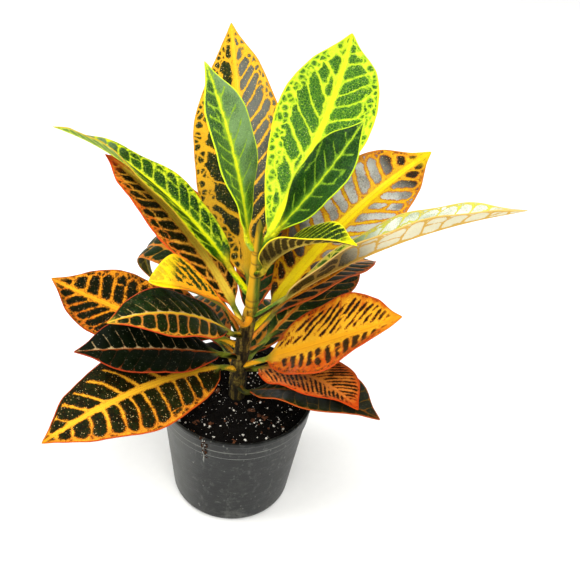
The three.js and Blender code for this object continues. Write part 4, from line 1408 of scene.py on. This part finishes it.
    # colours of the net
    blushFrom = chosen("blushFrom")
    farOut = rise((low - 0.5) * 0.9 + reach, blushFrom, blushFrom + 0.45)
    net = layered(
        given["vein"], (farOut, "bandTone"), (chosen("paleVeins") * 0.8, tint(0xD8D49A)),
        (rise(medium, 0.46, 0.64, 0.0, 0.45), "rib"), (rise(fast, 0.5, 0.66, 0.0, 0.55), "edge"),
        (rise(inside, -1.3, -0.2, 0.0, 0.35), "edge"), (rise(fromRib + wobble * 1.2, 0.5, -0.6), "rib"),
        (rise(out, 0.55, 0.15) * 0.35, "bandTone"), (rise(grit, 0.5, 0.66, 0.0, 0.45), "halo"),
        (rise(grit, 0.46, 0.34, 0.0, 0.35), "rib"), (nearCell * 0.75, "halo"),
    )

    # colours of the cells, with their fine net, flecks and painted sheen
    fine = graph.cellEdges(place, 0.5, "2D")
    fineMask = rise(fine, 0.09, 0.02) * given["fineNet"]
    patches = texture(place, 0.8, 4.0, 0.72) + rise(inside, 2.2, 0.3, 0.0, 0.05)
    glow = rise(fromRib + wobble, 4.5, 0.0) * rise(part, 0.9, 0.2)
    # painted sheen: a pale reflection painted onto the cells on one side, over a stretch of the blade
    sideShare = calc("MULTIPLY_ADD", given["paintedSheenSide"], sign, 1.0, clamp=True)
    starts = rise(part, given["paintedSheenFrom"] - 0.1, given["paintedSheenFrom"] + 0.12)
    ends = rise(part, given["paintedSheenTo"] + 0.05, given["paintedSheenTo"] - 0.1)
    patchy = rise(slow + fast * 0.5, 0.5, 0.95, 0.3, 1.15)
    paintedSheen = starts * ends * (sideShare * patchy)
    paintedSheen = calc("MULTIPLY", paintedSheen, given["paintedSheenShare"], clamp=True)
    dots, dotTone = graph.cells(place, 0.85)
    dotPick = rise(graph.split(dotTone)[0] + medium * 0.6, 0.92, 1.0)
    dotMask = rise(dots, 0.26, 0.14) * dotPick
    dark = layered(
        given["cell"], (rise(medium + slow * 0.6, 0.6, 1.05), "cellLight"), (fineMask, "halo"),
        (rise(patches, 0.55, 0.63) * given["mottle"], "halo"),
        (rise(patches, 0.64, 0.69) * given["mottle"], "vein"),
        (glow * given["glow"], "halo"), (paintedSheen, "paintedSheen"),
        (dotMask * given["specks"], mix(0.4, given["vein"], tint(0xE6E6C8))),
    )

    # margin line and tip
    edgeMask = rise(toEdge + crinkle * 0.8, given["edgeLine"] * 1.5, given["edgeLine"] * 0.5)
    edgeMask = edgeMask * rise(along, 2.0, 12.0)
    tipPlace = part + (medium - 0.5) * 0.12
    tipMask = rise(tipPlace, given["tipFrom"], given["tipFrom"] + 0.1)
    tipMask = tipMask * given["tipShare"] * (cell * -0.35 + 1.0)
    above = layered(mix(cell, net, dark), (edgeMask, "edge"), (tipMask, "tip"))

    # underside, and then the foot of the blade with the stalk
    nearFoot = rise(part + wobble * 0.06, 0.5, 0.28)
    below = layered(
        given["underVein"], (nearFoot * 0.7, "underBase"),
        (cell * 0.95, mix(nearFoot, given["underCell"], given["underBase"])),
        (rise(fromRib, 0.2, -0.5, 0.0, 0.6), "underVein"), (fineMask * 0.8, "underVein"),
        (edgeMask, "edge"),
    )
    foot = rise(along, 14.0, 1.0) * rise(out - along * 0.3, 3.2, 1.4)
    stalkTone = mix(rise(medium, 0.35, 0.7, 0.0, 0.5), given["stalk"], given["cellLight"])
    colour = layered(
        mix(top, below, above), (foot, stalkTone),
        (rise(slow, 0.25, 0.75, 0.0, 0.12), "cell"), (rise(fast, 0.42, 0.3, 0.0, 0.25), "cell"),
    )
    rough = given["gloss"] + rise(medium, 0.3, 0.7, -0.03, 0.08) + (1.0 - top) * 0.18
    height = (cell * 0.55 + fast * 0.3 - fineMask * 0.5) * (top * 1.4 + -0.5)
    return graph.gives({"Colour": colour, "Roughness": rough, "Height": height})


def leafMaterial(name, look, seed, pattern):
    material, graph, shader = newMaterial(name, {"IOR": 1.45, "Specular IOR Level": look["specular"]})
    feeds = {"seed": float(seed)}
    feeds.update({key: (*sidePair(look[key]), 0.0) for key in leafPairs})
    feeds.update({key: float(look[key]) for key in leafNumbers})
    feeds.update({key: tint(look.get(key, look["underCell"])) for key in leafColours})
    group = graph.node("ShaderNodeGroup", feeds, node_tree=pattern)
    colour, rough, height = [graph.out(group, output) for output in ("Colour", "Roughness", "Height")]
    dress(graph, shader, colour, rough, height, 0.55, 0.0005)
    return material


def makeLeaves():
    pattern = crotonGroup()
    for number, (node, (kind, form, look)) in enumerate(leaves.items(), 1):
        name = "blade" + node[-2:]
        look = {**plainLook, **leafKinds[kind], **look}
        mesh = leafMesh(name, {**plainForm, **form}, look, number)
        material = leafMaterial("crotonLeaf" + node[-2:], look, number, pattern)
        addPiece(name, mesh, node, look["slot"], material)


makeLeaves()
print("leaves made,", len(leaves))


def jointSwelling(z):
    swelling, scar = 0.0, 0.0
    for _, form, _ in leaves.values():
        away = z - form["height"]
        swelling = max(swelling, stem["jointSwell"] * math.exp(-((away / stem["jointSpread"]) ** 2)))
        scar = max(scar, math.exp(-(((away + 3.2) / 0.55) ** 2)))
    return swelling, scar


def stemMaterial():
    material, graph, shader = newMaterial("stemBark", {"IOR": 1.42, "Specular IOR Level": 0.2})
    rise, mix = graph.rise, graph.mix
    x, y, z = graph.split(objectPlace(graph))
    bark, paleBark, blackTone = tint(stem["bark"]), tint(stem["paleBark"]), tint(stem["blackTone"])
    stretched = graph.join(x * 3.0, y * 3.0, z)
    barkTone, patch, grain = addMottle(graph, stretched, 120.0, 900.0, 0.6, stem["bark"], stem["paleBark"])
    young, _, _ = addMottle(graph, stretched, 90.0, 1500.0, 0.4, stem["green"], stem["paleGreen"])
    height = z + (patch - 0.5) * 0.05
    green = rise(height, stem["greenFrom"] * mm, stem["greenTo"] * mm)
    fibres = graph.noise(graph.join(x * 9.0, y * 9.0, z), 60.0, 3.0)
    young = mix(rise(fibres, 0.44, 0.62, 0.0, 0.5), young, tint(stem["fibre"]))
    # painted light: the left of the young stem goes golden as if lit, and the right stays dark olive as
    # painted shade
    young = mix(rise(x + fibres * 0.002, 0.0085, 0.006, 0.0, 0.85), young, tint(stem["paintedLitSide"]))
    barkTone = mix(rise(fibres, 0.5, 0.62, 0.0, 0.85), barkTone, paleBark)
    barkTone = mix(rise(fibres, 0.46, 0.36, 0.0, 0.9), barkTone, bark)
    colour = mix(green, barkTone, young)
    colour = mix(graph.attribute("scar", "Fac") * 0.75, colour, tint(stem["scar"]))
    colour = mix(graph.attribute("bud", "Fac"), colour, tint(stem["budTone"]))
    # dark blotches on the old wood, and the old wood darker towards the bottom
    blotches = rise(graph.noise(stretched, 75.0, 2.0), 0.56, 0.46, 0.0, 0.85)
    colour = mix(blotches * (1.0 - green), colour, blackTone)
    colour = mix(rise(height, stem["darkerBelow"] * mm, 0.095, 0.0, 0.6), colour, blackTone)
    lines = graph.cellEdges(stretched, 420.0)
    cracks = rise(lines, 0.09, 0.02) * (1.0 - green)
    colour = mix(cracks * 0.6, colour, tint(stem["crack"]))
    dress(graph, shader, colour, rise(green, 0.0, 1.0, 0.82, 0.5), grain - cracks * 0.6, 0.7, 0.0005)
    return material


def makeStem():
    path = stem["path"]
    foot, top = path[0][2], path[-1][2]
    sides, total = stem["sides"], stem["rings"]
    points, scars, buds = [], [], []

    def addPoint(point, scar, bud):
        points.append(point * mm)
        scars.append(scar)
        buds.append(bud)

    turns = [k / sides * 2 * math.pi for k in range(sides)]
    around = [(angle, Vector((math.cos(angle), math.sin(angle), 0))) for angle in turns]
    for i in range(total + 1):
        z = lerp(foot, top, i / total)
        middle, radius = stemAt(z)
        swelling, scar = jointSwelling(z)
        rough = stem["barkDepth"] * smooth(190, 130, z)
        for angle, outward in around:
            grain = noise.fractal(Vector((outward.x * 2.6, outward.y * 2.6, z * 0.11)), 0.8, 2.0, 4)
            size = radius + swelling * (0.8 + 0.2 * math.cos(angle * 2)) - stem["scarDepth"] * scar
            addPoint(middle + outward * (size + rough * grain), scar, 0.0)
    middle, radius = stemAt(top)
    for lift, share in stem["bud"]:
        for angle, outward in around:
            ridge = 1 + 0.12 * math.cos(angle * 3 + lift * 0.5)
            addPoint(middle + outward * radius * share * ridge + Vector((0, 0, lift)), 0.0, 0.35)
    rings = len(points) // sides
    faces = tubeFaces(rings, sides)
    tip = middle + Vector((0, 0, stem["budLength"]))
    for ring, centre in ((0, Vector((path[0][0], path[0][1], foot))), (rings - 1, tip)):
        faces += endFaces(ring, sides, len(points))
        addPoint(centre, 0.0, 0.0)
    # a small resting bud above each leaf's joint
    for _, form, _ in leaves.values():
        form = {**plainForm, **form}
        z = form["height"] + stem["restingLift"]
        if z > top - 4:
            continue
        middle, radius = stemAt(z)
        turn = math.radians(form["heading"] + form["lead"])
        outward = Vector((math.cos(turn), math.sin(turn), 0.35)).normalized()
        middle = middle + outward * (radius - 0.15)
        first = len(points)
        ball = bmesh.new()
        bmesh.ops.create_icosphere(ball, subdivisions=2, radius=1.0)
        for vertex in ball.verts:
            addPoint(middle + vertex.co * Vector(stem["restingSize"]), 0.0, 0.8)
        faces += [tuple(first + vertex.index for vertex in face.verts) for face in ball.faces]
        ball.free()
    mesh = newMesh("stemBark", points, faces)
    keepNumbers(mesh, "scar", scars)
    keepNumbers(mesh, "bud", buds)
    faceOutward(mesh)
    addPiece("stemBark", mesh, "stem", "stem", stemMaterial())


makeStem()
print("stem made")


def makeFloor():
    size = 4.0
    corners = [(-size, -size, 0), (size, -size, 0), (size, size, 0), (-size, size, 0)]
    mesh = newMesh("floor", corners, [(0, 1, 2, 3)])
    floor = addObject("floor", mesh)
    material, graph, shader = newMaterial("paleFloor", {"Roughness": 0.9})
    colour, _, _ = addMottle(graph, objectPlace(graph), 2.0, 160.0, 0.2, 0xF0F0EE, studio["floorColour"])
    graph.feed(shader.inputs["Base Color"], colour)
    mesh.materials.append(material)


makeFloor()
